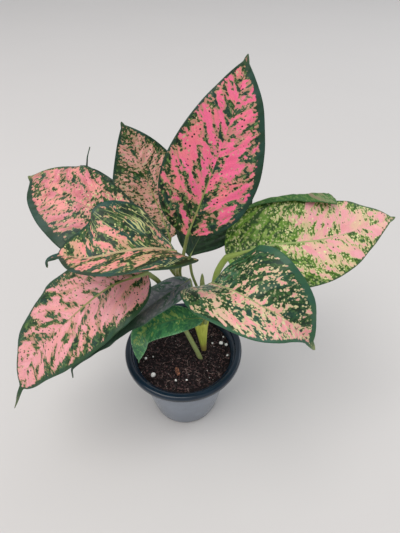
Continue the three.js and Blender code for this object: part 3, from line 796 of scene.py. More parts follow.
    shade = wire.ramp(fine, 0, 1, 0.9, 1.1)
    mottled = wire.first("ShaderNodeHueSaturation", {"Value": shade, "Color": painted})
    rough = wire.sum(wire.ramp(tint, 0, 1, 0.36, 0.5), wire.times(under, 0.15))
    height = wire.sum(wire.times(fine, 0.4), wire.times(wave, -0.3), wire.times(flecks, 0.25))
    wire.add("NodeGroupOutput", {"Colour": mottled, "Roughness": rough, "Height": height})
    return tree


def new_material(name):
    """A material with its tree emptied and a Principled shader on its output."""
    made = bpy.data.materials.new(name)
    made.use_nodes = True
    made.node_tree.nodes.clear()
    wire = Wiring(made.node_tree)
    shader = wire.add("ShaderNodeBsdfPrincipled")
    wire.add("ShaderNodeOutputMaterial", {"Surface": shader.outputs[0]})
    return made, wire, shader


def feed(wire, shader, **given):
    """Gives the shader's inputs a socket or a value each, by name, with _ for a space."""
    for name, value in given.items():
        wire.give(shader.inputs[name.replace("_", " ")], value)


def blade_material(name):
    """One leaf's finish: the shared pattern with this leaf's own settings."""
    pattern = bpy.data.node_groups.get("Variegated blade") or blade_pattern()
    made, wire, shader = new_material(f"{name}_blade")
    group = wire.add("ShaderNodeGroup", node_tree=pattern)
    for title, value in {**PATTERN_DEFAULTS, **PATTERNS[name]}.items():
        group.inputs[title].default_value = plain(value)
    feed(wire, shader, Base_Color=group.outputs["Colour"], Roughness=group.outputs["Roughness"],
         Normal=wire.bump(0.35, 0.0003, group.outputs["Height"]), Coat_Weight=0.08, Coat_Roughness=0.25,
         Specular_IOR_Level=0.3)
    return made


# ---- meshes -------------------------------------------------------------------------------------


def new_object(name, points, edges=(), faces=()):
    """A mesh object at the origin, not yet in the scene."""
    mesh = bpy.data.meshes.new(name)
    mesh.from_pydata([tuple(p) for p in points], edges, [tuple(f) for f in faces])
    return bpy.data.objects.new(name, mesh)


def show(piece):
    """Puts an object into the scene."""
    bpy.context.scene.collection.objects.link(piece)
    return piece


def new_piece(name, points, faces, material, smooth=True):
    """A mesh object in the scene, with its material."""
    piece = show(new_object(name, points, faces=faces))
    piece.data.materials.append(material)
    piece.data.polygons.foreach_set("use_smooth", [smooth] * len(piece.data.polygons))
    piece.data.update()
    return piece


def guide(name, points, chained=True, **measures):
    """Points that a geometry tree builds on, chained or loose, with the measures kept at each."""
    edges = [(k, k + 1) for k in range(len(points) - 1)] if chained else []
    piece = show(new_object(name, points, edges))
    for title, values in measures.items():
        piece.data.attributes.new(title, "FLOAT", "POINT").data.foreach_set("value", values)
    return piece


def keep_attribute(mesh, name, values):
    """Stores one vector for each vertex."""
    made = mesh.attributes.new(name, "FLOAT_VECTOR", "POINT")
    made.data.foreach_set("vector", np.asarray(values, np.float32).ravel())


def stand_in(piece, slot, nodes):
    """The finished piece rides on the part's body and stands for its CAD nodes."""
    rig.ride(piece, BODY)
    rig.replaces(piece, *nodes)
    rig.slot(piece, slot)
    return piece


def spline(points, shares):
    """Smooth curve through points, at shares of its steps, and its tangents there."""
    points = np.asarray(points, float)
    ends = np.vstack([2 * points[0] - points[1], points, 2 * points[-1] - points[-2]])
    steps = len(points) - 1
    scaled = np.clip(np.asarray(shares, float) * steps, 0, steps)
    first = np.minimum(scaled.astype(int), steps - 1)
    t = (scaled - first)[:, None]
    before, start, end, after = (ends[first + k] for k in range(4))
    leave = (end - before) / 2
    arrive = (after - start) / 2
    cubic = 2 * start - 2 * end + leave + arrive
    square = 3 * end - 3 * start - 2 * leave - arrive
    place = cubic * t**3 + square * t**2 + leave * t + start
    tangent = 3 * cubic * t**2 + 2 * square * t + leave
    return place, tangent / np.linalg.norm(tangent, axis=1)[:, None]


def run_nodes(piece, tree, **inputs):
    """Runs a geometry tree on a piece and leaves its result as a plain mesh."""
    modifier = piece.modifiers.new("shape", "NODES")
    modifier.node_group = tree
    for socket in tree.interface.items_tree:
        if socket.in_out == "INPUT" and socket.name in inputs:
            modifier[socket.identifier] = inputs[socket.name]
    shaped = piece.evaluated_get(bpy.context.evaluated_depsgraph_get())
    plain_mesh = bpy.data.meshes.new_from_object(shaped)
    piece.modifiers.clear()
    piece.data = plain_mesh
    return piece


def geometry_tree(name, inputs):
    """A geometry tree that takes geometry, further named inputs and a material, and gives geometry."""
    given = {"Geometry": "NodeSocketGeometry", **inputs, "Material": "NodeSocketMaterial"}
    tree = new_group(name, "GeometryNodeTree", given)
    tree.interface.new_socket("Geometry", in_out="OUTPUT", socket_type="NodeSocketGeometry")
    wire = Wiring(tree)
    return tree, wire, wire.add("NodeGroupInput").outputs


def finish_tree(wire, geometry, material, smooth=True):
    """Ends a tree in real geometry with its material."""
    if smooth:
        geometry = wire.first("GeometryNodeSetShadeSmooth", {"Geometry": geometry})
    real = wire.first("GeometryNodeRealizeInstances", {"Geometry": geometry})
    painted = wire.first("GeometryNodeSetMaterial", {"Geometry": real, "Material": material})
    wire.add("NodeGroupOutput", {"Geometry": painted})


def all_round(count):
    """Angles of so many points on a circle."""
    return np.linspace(0, 2 * np.pi, count, endpoint=False)


def level_ring(angle, radius, height=0.0):
    """A level ring of points around the origin."""
    return np.stack([radius * np.cos(angle), radius * np.sin(angle), height + 0 * angle], 1)


def ring_across(ahead, aside, angle, reach):
    """A ring of points square to the way ahead. aside is any direction off that way."""
    across = np.cross(ahead, aside)
    across /= np.linalg.norm(across)
    back = np.cross(ahead, across)
    return (np.cos(angle) * reach)[:, None] * across + (np.sin(angle) * reach)[:, None] * back


def rings_mesh(rings):
    """Points and faces of a closed loft through rings of points in millimetres."""
    count, sides = len(rings), len(rings[0])
    points = np.concatenate([*rings, rings[0].mean(0)[None], rings[-1].mean(0)[None]]) * MM
    at = np.arange(count * sides).reshape(count, sides)
    beside = np.roll(at, -1, 1)
    faces = np.stack([at[:-1], beside[:-1], beside[1:], at[1:]], -1).reshape(-1, 4).tolist()
    foot, top = count * sides, count * sides + 1
    faces += [(foot, b, a) for a, b in zip(at[0], beside[0])]
    faces += [(top, a, b) for a, b in zip(at[-1], beside[-1])]
    return points, faces


# ---- leaves -------------------------------------------------------------------------------------


def half_width(leaf, side, share):
    """Outline of one half of a blade, in millimetres, at shares of its length."""
    bulge, taper, tail = leaf[side]["bulge"], leaf[side]["taper"], leaf["tail"]
    within = np.minimum(share / (1 - tail), 1)
    widest = bulge / (bulge + taper)
    body = (within / widest) ** bulge * ((1 - within) / (1 - widest)) ** taper
    drip = np.where(share > 0.5, leaf.get("drip", 0.045) * np.sqrt((1 - share) / tail), 0)
    narrowest = 0.5
    return np.maximum(leaf["width"] / 2 * leaf[side]["wide"] * np.maximum(body, drip), narrowest)


def smooth_step(value, start, end):
    """0 before start, 1 after end, smooth between."""
    t = np.clip((value - start) / (end - start), 0, 1)
    return t * t * (3 - 2 * t)


def upper_side(leaf, along):
    """The direction that the blade's upper side faces, at each tangent of its midrib."""
    face = np.asarray(leaf["face"], float)
    normal = face - (along @ face)[:, None] * along
    return normal / np.linalg.norm(normal, axis=1)[:, None]


def summed(steps):
    """Running sums along each row, from 0."""
    return np.concatenate([np.zeros((len(steps), 1)), np.cumsum(steps, 1)], 1)


def rolled_half(roll, share, width, middle, turn):
    """Width and turn of a half whose margin stands out further and further, then turns over."""
    blunt_end, bend_from, bend_to = 0.03, 2.6, 2.2
    ramp = np.clip((share - roll["start"]) / (roll["end"] - roll["start"]), 0, 1) ** 0.9
    ramp = ramp * (1 - smooth_step(share, roll["end"], roll["end"] + blunt_end))
    fold_line = (width + roll["rise"] * ramp)[:, None]
    width = width + (roll["rise"] + roll["flap"]) * ramp
    past = smooth_step(middle[None, :] * width[:, None], fold_line - bend_from, fold_line + bend_to)
    return width, turn + np.radians(roll["turn"]) * past * smooth_step(ramp, 0, 0.15)[:, None]


def blade_arrays(leaf, settings, seed):
    """The middle surface of a blade, its normals, and where each point lies on it."""
    rows, columns = settings.rows, settings.columns
    share = (1 - np.cos(np.pi * np.arange(rows + 1) / rows)) / 2
    centre, along = spline(leaf["midrib"], share)
    normal = upper_side(leaf, along)
    left = np.cross(normal, along)
    run = np.concatenate([[0], np.cumsum(np.linalg.norm(np.diff(centre, axis=0), axis=1))])

    crowding = 1.3  # columns lie closer together towards the midrib
    steps = (np.arange(columns + 1) / columns) ** crowding
    middle = (steps[1:] + steps[:-1]) / 2
    halves = []
    for side, sign in (("left", -1), ("right", 1)):
        width = half_width(leaf, side, share)
        turn = np.radians(leaf[side]["fold"] + leaf[side]["curl"] * middle)
        turn = turn[None, :].repeat(rows + 1, 0)
        if leaf.get("roll", {}).get("half") == side:
            width, turn = rolled_half(leaf["roll"], share, width, middle, turn)
        step = np.diff(steps)[None, :] * width[:, None]
        lateral, rise = summed(step * np.cos(turn)), summed(step * np.sin(turn))
        turn = np.concatenate([turn[:, :1], (turn[:, 1:] + turn[:, :-1]) / 2, turn[:, -1:]], 1)
        place = (centre[:, None] - sign * lateral[..., None] * left[:, None]
                 + rise[..., None] * normal[:, None])
        facing = (np.cos(turn)[..., None] * normal[:, None]
                  + sign * np.sin(turn)[..., None] * left[:, None])
        out = width[:, None] * steps[None, :]
        halves.append({"place": place, "facing": facing, "out": out, "rim": width[:, None] - out,
                       "sign": np.full_like(out, sign), "across": np.tile(steps, (rows + 1, 1))})
    joined = {key: np.concatenate([halves[0][key][:, :0:-1], halves[1][key]], 1) for key in halves[0]}
    # A normal shared by both halves along the midrib.
    joined["facing"][:, columns] = normal

    # Side veins sweep on towards the tip as they go out, a little unevenly.
    out, across, sign = joined["out"], joined["across"], joined["sign"]
    run = run[:, None]
    stray, channel = 1.1, 1.1
    vein = run - VEIN_LEAN * out - VEIN_BOW * out**2 + stray * np.sin(out / 7 + seed) * (across > 0)
    spacing = settings.vein_spacing / MM
    phase = vein / spacing + VEIN_SHIFT * sign
    near_vein = np.abs(phase - np.round(phase)) * spacing
    relief = -np.exp(-((near_vein / channel) ** 2)) + 0.5 * np.cos(2 * np.pi * (phase + 0.5))
    relief = relief * settings.vein_depth / MM * smooth_step(out, 1.5, 7) * (1 - 0.7 * across**4)
    # The margins ripple, and the whole blade undulates by half a millimetre.
    wave = np.sin(run / 7.1 + seed + sign) + 0.6 * np.sin(run / 3.9 + 2.1 * seed - sign)
    relief = relief + settings.ripple / MM * across**4 * wave * smooth_step(run, 2, 20)
    relief = relief + 0.5 * np.sin(run / 11 + out / 9 + seed) * smooth_step(out, 4, 16)
    joined["place"] = joined["place"] + relief[..., None] * joined["facing"]
    joined["vein"] = np.stack([vein * MM, out * MM, sign], -1)
    joined["blade"] = np.stack([share[:, None].repeat(out.shape[1], 1), across, joined["rim"] * MM], -1)
    return joined


def blade_piece(name, leaf, settings, material):
    """A closed blade with rounded margins, a raised midrib and sunken side veins."""
    made = blade_arrays(leaf, settings, PATTERNS[name]["Seed"])
    rows, columns = made["out"].shape
    half_thick = 0.5 * settings.thickness / MM * (1 - 0.6 * made["across"] ** 6)
    share = made["blade"][..., 0]
    rib_width = 1.7 - 1.1 * share
    rib = settings.rib_height / MM * np.exp(-((made["out"] / rib_width) ** 2)) * (1 - share**4)
    upper = made["place"] + (half_thick + rib)[..., None] * made["facing"]
    lower = made["place"] - half_thick[..., None] * made["facing"]
    points = np.concatenate([upper.reshape(-1, 3), lower.reshape(-1, 3)]) * MM

    at = np.arange(rows * columns).reshape(rows, columns)
    quads = np.stack([at[:-1, :-1], at[:-1, 1:], at[1:, 1:], at[1:, :-1]], -1).reshape(-1, 4)
    below = quads[:, ::-1] + rows * columns
    rim = np.concatenate([at[0, :], at[1:, -1], at[-1, -2::-1], at[-2:0:-1, 0]])
    after = np.roll(rim, -1)
    edge = np.stack([after, rim, rim + rows * columns, after + rows * columns], -1)
    piece = new_piece(f"{name}_blade", points, np.concatenate([quads, below, edge]), material)
    skin = np.zeros((len(points), 3))
    skin[rows * columns:, 0] = 1
    keep_attribute(piece.data, "skin", skin)
    for key in ("vein", "blade"):
        keep_attribute(piece.data, key, np.tile(made[key].reshape(-1, 3), (2, 1)))
    return piece


def stalk_tree():
    """Round stalk along a path, as thick at each point as the path's girth."""
    tree, wire, given = geometry_tree("Stalk along a path", {"Sides": 14})
    curve = wire.first("GeometryNodeMeshToCurve", {"Mesh": given["Geometry"]})
    circle = wire.first(
        "GeometryNodeCurvePrimitiveCircle", {"Resolution": given["Sides"], "Radius": 1.0}
    )
    swept = wire.first(
        "GeometryNodeCurveToMesh",
        {"Curve": curve, "Profile Curve": circle, "Scale": wire.measure("girth"), "Fill Caps": True},
    )
    marked = wire.first(
        "GeometryNodeStoreNamedAttribute",
        {"Geometry": swept, "Name": "skin", "Value": (0.0, 1.0, 0.0)},
        data_type="FLOAT_VECTOR",
    )
    finish_tree(wire, marked, given["Material"])
    return tree


def stalk_piece(name, leaf, material):
    """The stalk, which runs on under the blade as its midrib and thins out there."""
    free = np.linspace(0, 1, 40)
    stalk, _ = spline(leaf["stalk"], free)
    rib_start, rib_end, rib_tip = 0.02, 0.55, 0.45
    shares = np.linspace(rib_start, rib_end, 26)
    rib, along = spline(leaf["midrib"], shares)
    rib_girth = np.interp(shares, [0, rib_end], [leaf["girth"], rib_tip])
    rib = rib - upper_side(leaf, along) * (0.55 * rib_girth * smooth_step(shares, 0, 0.12))[:, None]
    foot_swell = 1 + 0.35 * np.exp(-free * 9)
    girth = np.concatenate([leaf["girth"] * foot_swell, rib_girth])
    piece = guide(f"{name}_stalk", np.vstack([stalk, rib]) * MM, girth=girth * MM)
    tree = bpy.data.node_groups.get("Stalk along a path") or stalk_tree()
    return run_nodes(piece, tree, Material=material)


def join(pieces, name):
    """Joins objects into the first one."""
    bpy.ops.object.select_all(action="DESELECT")
    for piece in pieces:
        piece.select_set(True)
    bpy.context.view_layer.objects.active = pieces[0]
    bpy.ops.object.join()
    pieces[0].name = name
    return pieces[0]


class EVERGREEN_OT_leaves(bpy.types.Operator):
    """Grow the leaves, each a variegated blade on its stalk"""

    bl_idname = "evergreen.leaves"
    bl_label = "Leaves"
    bl_options = {"REGISTER", "UNDO"}

    def execute(self, context):
        settings = context.scene.evergreen_leaves
        for name, leaf in LEAVES.items():
            material = blade_material(name)
            blade = blade_piece(name, leaf, settings, material)
            stalk = stalk_piece(name, leaf, material)
            piece = join([blade, stalk], f"{name}_leaf")
            stand_in(piece, leaf["slot"], [f"leaf_{name}"])
        return {"FINISHED"}


# ---- stem and new leaf --------------------------------------------------------------------------


def stem_material():
    """Yellow-olive skin of the stem, with pale ribs along it."""
    made, wire, shader = new_material("stem_skin")
    x, y, z = wire.parts(wire.object_place())
    ribbed = wire.ribs(x, y, z, 60)
    skin = wire.blend(ribbed, (0.48, 0.54, 0.07), (0.78, 0.84, 0.17))
    skin = wire.blend(wire.ease(z, 0.098, 0.088), skin, (0.46, 0.38, 0.10))
    # A dry brown sheath clings to the right of the stem.
    flank = wire.times(wire.ease(x, 0.0235, 0.0255), wire.ease(z, 0.1, 0.106), wire.ease(z, 0.124, 0.116))
    dry = wire.blend(ribbed, (0.20, 0.06, 0.03), (0.42, 0.18, 0.10))
    skin = wire.blend(wire.times(flank, 0.9), skin, dry)
    feed(wire, shader, Base_Color=skin, Roughness=wire.ramp(ribbed, 0, 1, 0.4, 0.55),
         Normal=wire.bump(0.3, 0.0004, ribbed))
    return made


def spear_material():
    """Pale yellow-green of a leaf that hasn't unrolled."""
    made, wire, shader = new_material("new_leaf_skin")
    x, y, z = wire.parts(wire.object_place())
    veins = wire.ribs(x, y, z, 160)
    skin = wire.blend(veins, (0.17, 0.24, 0.06), (0.34, 0.38, 0.13))
    feed(wire, shader, Base_Color=skin, Roughness=wire.ramp(veins, 0, 1, 0.36, 0.5))
    return made


def stem_rings():
    """Rings up the stem, which widens to its crown and is fluted by clasping sheaths."""
    angle = all_round(72)
    foot_radius, gain = STEM_GIRTH
    flutes, flute_depth, twist = 5, 0.1, 2.5
    rings = []
    # It goes on down into the soil, and the flutes deepen towards the crown.
    for share in np.concatenate([[-0.2], np.linspace(0, 1, 30), [1.02]]):
        up = np.clip(share, 0, 1)
        flute = 1 - flute_depth * up * (0.5 + 0.5 * np.cos(flutes * angle + twist * up)) ** 2
        radius = (foot_radius + gain * up**1.3) * flute * (0.9 if share > 1 else 1)
        rings.append(STEM_FOOT + share * STEM_RISE + level_ring(angle, radius))
    return rings


def spear_rings():
    """Rings up the rolled leaf, whose outer edge stands proud along one slanting seam."""
    turn = all_round(40)
    shares = np.linspace(0, 1, 48)
    foot_radius, gain, tip_radius = 1.5, 1, 0.2
    slant, proud = 0.35, 0.16
    rings = []
    for place, ahead, share in zip(*spline(SPEAR_PATH, shares), shares):
        radius = foot_radius + gain * min(share / 0.5, 1)
        radius = max(radius * math.sqrt(min((1 - share) / 0.4, 1)), tip_radius)
        lap = ((turn / (2 * np.pi) + slant * share) % 1.0) * proud
        rings.append(place + ring_across(ahead, (0, 1, 0), turn, radius * (0.9 + lap)))
    return rings


class EVERGREEN_OT_stem(bpy.types.Operator):
    """Grow the stem and the rolled new leaf at its top"""

    bl_idname = "evergreen.stem"
    bl_label = "Stem and new leaf"
    bl_options = {"REGISTER", "UNDO"}

    def execute(self, context):
        stem = new_piece("leaf_stem", *rings_mesh(stem_rings()), stem_material())
        stand_in(stem, "stem", ["stem"])
        spear = new_piece("rolled_new_leaf", *rings_mesh(spear_rings()), spear_material())
        stand_in(spear, "stem", ["new_leaf"])
        return {"FINISHED"}


# ---- pot ----------------------------------------------------------------------------------------


def pot_material(settings):
    """Glossy moulded plastic: near-black blue on the rim and at the very foot; down the body a grey that is partly the
    plastic's own colour and partly painted reflection of the pale floor, darker towards the foot.
    """
    made, wire, shader = new_material("pot_plastic")
    place = wire.object_place()
    x, y, height = wire.parts(place)
    under_rim = settings.height - settings.rim_height
    on_rim = wire.ease(height, under_rim - 0.0015, under_rim + 0.0005)
    # The inside is as dark as the rim.
    slope = (settings.neck_radius - settings.foot_radius) / under_rim
    wall = wire.sum(wire.times(height, slope), settings.foot_radius - settings.wall * 0.6)
    inside = wire.ease(wire.less(wall, wire.from_axis(x, y)), -0.0002, 0.0002)
    cloud = wire.noise(place, 60, detail=3)
    # The body's grey is partly the plastic's own colour, partly painted reflection of the pale floor.
    body = wire.blend(cloud, settings.body_colour_and_reflection, [c * 0.86 for c in settings.body_colour_and_reflection])
    low = wire.ease(height, 0.05, 0.0)
    body = wire.blend(wire.times(low, 0.35), body, (0.10, 0.12, 0.15))
    body = wire.blend(wire.ease(height, 0.003, 0.001), body, (0.02, 0.03, 0.045))
    rim = wire.blend(cloud, settings.rim_colour, [c * 1.5 for c in settings.rim_colour])
    dark = wire.sum(on_rim, inside, operation="MAXIMUM")
    fine = wire.noise(place, 700, detail=2)
    rough = wire.sum(wire.ramp(fine, 0, 1, 0.12, 0.2), wire.times(inside, 0.25))
    feed(wire, shader, Base_Color=wire.blend(dark, body, rim), Roughness=rough,
         Normal=wire.bump(0.12, 0.0002, fine), Specular_IOR_Level=0.4)
    return made


def turned_tree():
    """Turns a profile around the pot's axis and bores the drain holes."""
    tree, wire, given = geometry_tree(
        "Turned pot",
        {"Profile points": 10, "Sides": 128, "Drain holes": 6, "Drain radius": 0.0025,
         "Drain circle": 0.024},
    )
    count, sides, holes = given["Profile points"], given["Sides"], given["Drain holes"]
    grid = wire.first(
        "GeometryNodeMeshGrid",
        {"Size X": 1.0, "Size Y": 1.0, "Vertices X": wire.sum(sides, 1.0), "Vertices Y": count},
    )
    index = wire.first("GeometryNodeInputIndex")
    around = wire.first("ShaderNodeMath", {0: wire.over(index, count)}, operation="FLOOR")
    on_profile = wire.first(
        "GeometryNodeSampleIndex",
        {"Geometry": given["Geometry"], "Value": wire.first("GeometryNodeInputPosition"),
         "Index": wire.sum(index, count, operation="MODULO")},
        data_type="FLOAT_VECTOR",
    )
    angle = wire.times(wire.over(around, sides), 2 * math.pi)
    turned = wire.first(
        "ShaderNodeVectorRotate", {"Vector": on_profile, "Axis": (0.0, 0.0, 1.0), "Angle": angle}
    )
    shell = wire.first("GeometryNodeSetPosition", {"Geometry": grid, "Position": turned})
    shell = wire.first("GeometryNodeMergeByDistance", {"Geometry": shell, "Distance": 1e-6})

    circle = wire.first("GeometryNodeMeshCircle", {"Vertices": holes, "Radius": given["Drain circle"]})
    twist = wire.place(0.0, 0.0, wire.over(math.pi, holes))
    circle = wire.first("GeometryNodeTransform", {"Geometry": circle, "Rotation": twist})
    bore = wire.first(
        "GeometryNodeMeshCylinder", {"Vertices": 24, "Radius": given["Drain radius"], "Depth": 0.02}
    )
    bores = wire.first("GeometryNodeInstanceOnPoints", {"Points": circle, "Instance": bore})
    bores = wire.first("GeometryNodeRealizeInstances", {"Geometry": bores})
    bored = wire.first(
        "GeometryNodeMeshBoolean", {"Mesh 1": shell, "Mesh 2": bores}, operation="DIFFERENCE"
    )
    finish_tree(wire, bored, given["Material"])
    return tree


def corner(x, z, radius, start, end, steps=5):
    """Points of a rounding, in degrees from +X towards +Z."""
    angles = np.radians(np.linspace(start, end, steps + 1))
    return [(x + radius * math.cos(a), z + radius * math.sin(a)) for a in angles]


def pot_profile(pot):
    """The turned section, from the middle of the underside out, up, over the rim and down inside."""
    body = pot.height - pot.rim_height
    foot_round, rim_round, lower_round, neck_round, floor = 0.002, 0.0028, 0.001, 0.0008, 0.002

    def wall_radius(height):
        return pot.foot_radius + (pot.neck_radius - pot.foot_radius) * height / body

    outer = [(wall_radius(h), h) for h in np.linspace(0.012, body - 0.0012, 9)]
    inner = [(wall_radius(h) - pot.wall, h) for h in np.linspace(body, 0.004, 7)]
    return [
        (0, 0),
        (pot.foot_radius * 0.5, 0),
        *corner(pot.foot_radius - foot_round, foot_round, foot_round, -90, -10),
        *outer,
        *corner(pot.neck_radius + neck_round, body - neck_round, neck_round, 180, 90, 3),
        *corner(pot.rim_radius - lower_round, body + lower_round, lower_round, -90, 0, 3),
        *corner(pot.rim_radius - rim_round, pot.height - rim_round, rim_round, 0, 90, 7),
        *corner(pot.mouth_radius + rim_round, pot.height - rim_round, rim_round, 90, 180, 7),
        (pot.mouth_radius, body + 0.002),
        *inner,
        (wall_radius(floor) - pot.wall - 0.001, floor),
        (pot.foot_radius * 0.5, floor),
        (0, floor),
    ]


class EVERGREEN_OT_pot(bpy.types.Operator):
    """Turn the nursery pot"""

    bl_idname = "evergreen.pot"
    bl_label = "Pot"
    bl_options = {"REGISTER", "UNDO"}

    def execute(self, context):
        pot = context.scene.evergreen_pot
        profile = pot_profile(pot)
        piece = guide("turned_pot", [(x, 0, z) for x, z in profile])
        inputs = {"Profile points": len(profile), "Sides": pot.sides, "Drain radius": pot.drain_radius,
                  "Drain circle": pot.drain_circle, "Material": pot_material(pot)}
        run_nodes(piece, turned_tree(), **inputs)
        piece.data.set_sharp_from_angle(angle=math.radians(50))
        stand_in(piece, "pot_plastic", ["nursery_pot"])
        return {"FINISHED"}


# ---- soil and what lies on it -------------------------------------------------------------------


def soil_material(settings):
    """Moist dark soil with brown grains."""
    made, wire, shader = new_material("moist_soil")
    place = wire.object_place()
    lumps = wire.noise(place, 420, detail=4, roughness=0.65)
    grain = wire.noise(place, 1600, detail=3, roughness=0.6)
    soil = wire.blend(lumps, [c * 0.45 for c in settings.colour], settings.colour)
    soil = wire.blend(wire.ease(grain, 0.72, 0.9), soil, (0.045, 0.022, 0.014))
    feed(wire, shader, Base_Color=soil, Roughness=wire.ramp(grain, 0, 1, 0.75, 0.98),
         Normal=wire.bump(0.9, 0.0012, wire.sum(lumps, grain)), Specular_IOR_Level=0.3)
    return made


def bits_material(name, darker, lighter, scale, rough):
    """Small loose bits, each of its own shade."""
    made, wire, shader = new_material(name)
    shade = wire.noise(wire.object_place(), scale, detail=2)
    feed(wire, shader, Base_Color=wire.blend(wire.ease(shade, 0.4, 0.75), darker, lighter),
         Roughness=wire.ramp(shade, 0, 1, rough, rough + 0.15))
    return made


def value_noise(x, y, seed):
    """Smooth height noise in -1 to 1 from sines of unlike lengths."""
    total = np.zeros_like(x)
    spin = np.random.default_rng(seed)
    for size, weight in ((9, 0.5), (5.2, 0.45), (3.1, 0.4), (2.0, 0.3), (1.4, 0.22)):
        for _ in range(4):
            angle, phase = spin.uniform(0, 2 * np.pi, 2)
            total += weight * np.sin((x * np.cos(angle) + y * np.sin(angle)) / size * 1.7 + phase) / 2
    return np.clip(total, -1.6, 1.6)


def soil_height(x, y):
    """The soil's mean top, as in the CAD, in millimetres."""
    level_from = 50.7  # the lumps die out towards this radius
    edge = 1 - np.minimum(np.hypot(x, y) / level_from, 1) ** 4
    return SOIL_TOP + 0.7 * edge * (np.sin(x / 9 + 1) + np.cos(y / 7 + x / 15))


def soil_mesh(settings):
    """A closed body of soil with a lumpy top."""
    angle = all_round(220)
    rings = [level_ring(angle, radius, height) for height, radius in reversed(SOIL_SIDE)]
    # Rings lie closer together towards the wall.
    count, crowding = 75, 0.8
    for radius in SOIL_RADIUS * (np.arange(count, 0, -1) / count) ** crowding:
        ring = level_ring(angle, radius)
        x, y = ring[:, 0], ring[:, 1]
        lumps = settings.roughness / MM * value_noise(x, y, 5)
        ring[:, 2] = soil_height(x, y) + lumps * (1 - 0.4 * (radius / 49) ** 6)
        rings.append(ring)
    return rings_mesh(rings)


def scatter_tree():
    """Scatters one shape over upward faces, each turned and sized at random.

    Edge is how far the pot's wall is from its axis, and Reach how much room a bit of size 1 takes.
    """
    tree, wire, given = geometry_tree(
        "Scatter on the soil",
        {"Shape": "NodeSocketObject", "Density": 1000.0, "Smallest": 0.5, "Largest": 1.5, "Tilt": 3.14,
         "Sink": 0.0, "Reach": 0.002, "Edge": 0.0496, "Seed": 1},
    )
    x, y, _ = wire.parts(wire.first("GeometryNodeInputPosition"))
    room = wire.less(given["Edge"], wire.from_axis(x, y))
    # The outermost ring is left out, so that nothing falls down the soil's side.
    on_top = wire.sum(room, 0.0007, operation="GREATER_THAN")
    facing = wire.times(wire.parts(wire.first("GeometryNodeInputNormal"))[2], on_top)
    upward = wire.first(
        "FunctionNodeCompare", {0: facing, 1: 0.3}, data_type="FLOAT", operation="GREATER_THAN"
    )
    points = wire.first(
        "GeometryNodeDistributePointsOnFaces",
        {"Mesh": given["Geometry"], "Selection": upward, "Density": given["Density"],
         "Seed": given["Seed"]},
    )
    size = wire.random("FLOAT", given["Smallest"], given["Largest"], given["Seed"])
    # A bit is no larger than the room between it and the pot's wall.
    size = wire.sum(size, wire.over(room, given["Reach"]), operation="MINIMUM")
    back, ahead = wire.times(given["Tilt"], -1.0), given["Tilt"]
    turn = wire.random(
        "FLOAT_VECTOR", wire.place(back, back, -math.pi), wire.place(ahead, ahead, math.pi)
    )
    shape = wire.add("GeometryNodeObjectInfo", {"Object": given["Shape"]}).outputs["Geometry"]
    placed = wire.first(
        "GeometryNodeInstanceOnPoints",
        {"Points": points, "Instance": shape, "Rotation": turn, "Scale": size},
    )
    sink = wire.place(0.0, 0.0, wire.times(given["Sink"], -1.0))
    sunk = wire.first(
        "GeometryNodeTranslateInstances", {"Instances": placed, "Translation": sink, "Local Space": False}
    )
    finish_tree(wire, sunk, given["Material"], smooth=False)
    return tree


def crumb_shape(name, stretch, seed):
    """A small rough lump of twenty faces, one millimetre across."""
    made = bmesh.new()
    bmesh.ops.create_icosphere(made, subdivisions=1, radius=0.5 * MM)
    rough = np.random.default_rng(seed)
    for vertex in made.verts:
        vertex.co *= rough.uniform(0.65, 1.25)
        vertex.co *= Vector(stretch)
    mesh = bpy.data.meshes.new(name)
    made.to_mesh(mesh)
    made.free()
    return bpy.data.objects.new(name, mesh)


def fibre_shape():
    """A thin bent fibre four millimetres long."""
    path = [(-2, 0, 0.1), (-0.9, 0.35, 0.45), (0.3, 0.2, 0.3), (1.2, -0.3, 0.15), (2, -0.5, 0.3)]
    radius = 0.075
    rings = [place + ring_across(ahead, (0, 0, 1), all_round(3), radius)
             for place, ahead in zip(*spline(path, np.linspace(0, 1, 7)))]
    points, faces = rings_mesh(rings)
    return new_object("fibre", points, faces=faces)


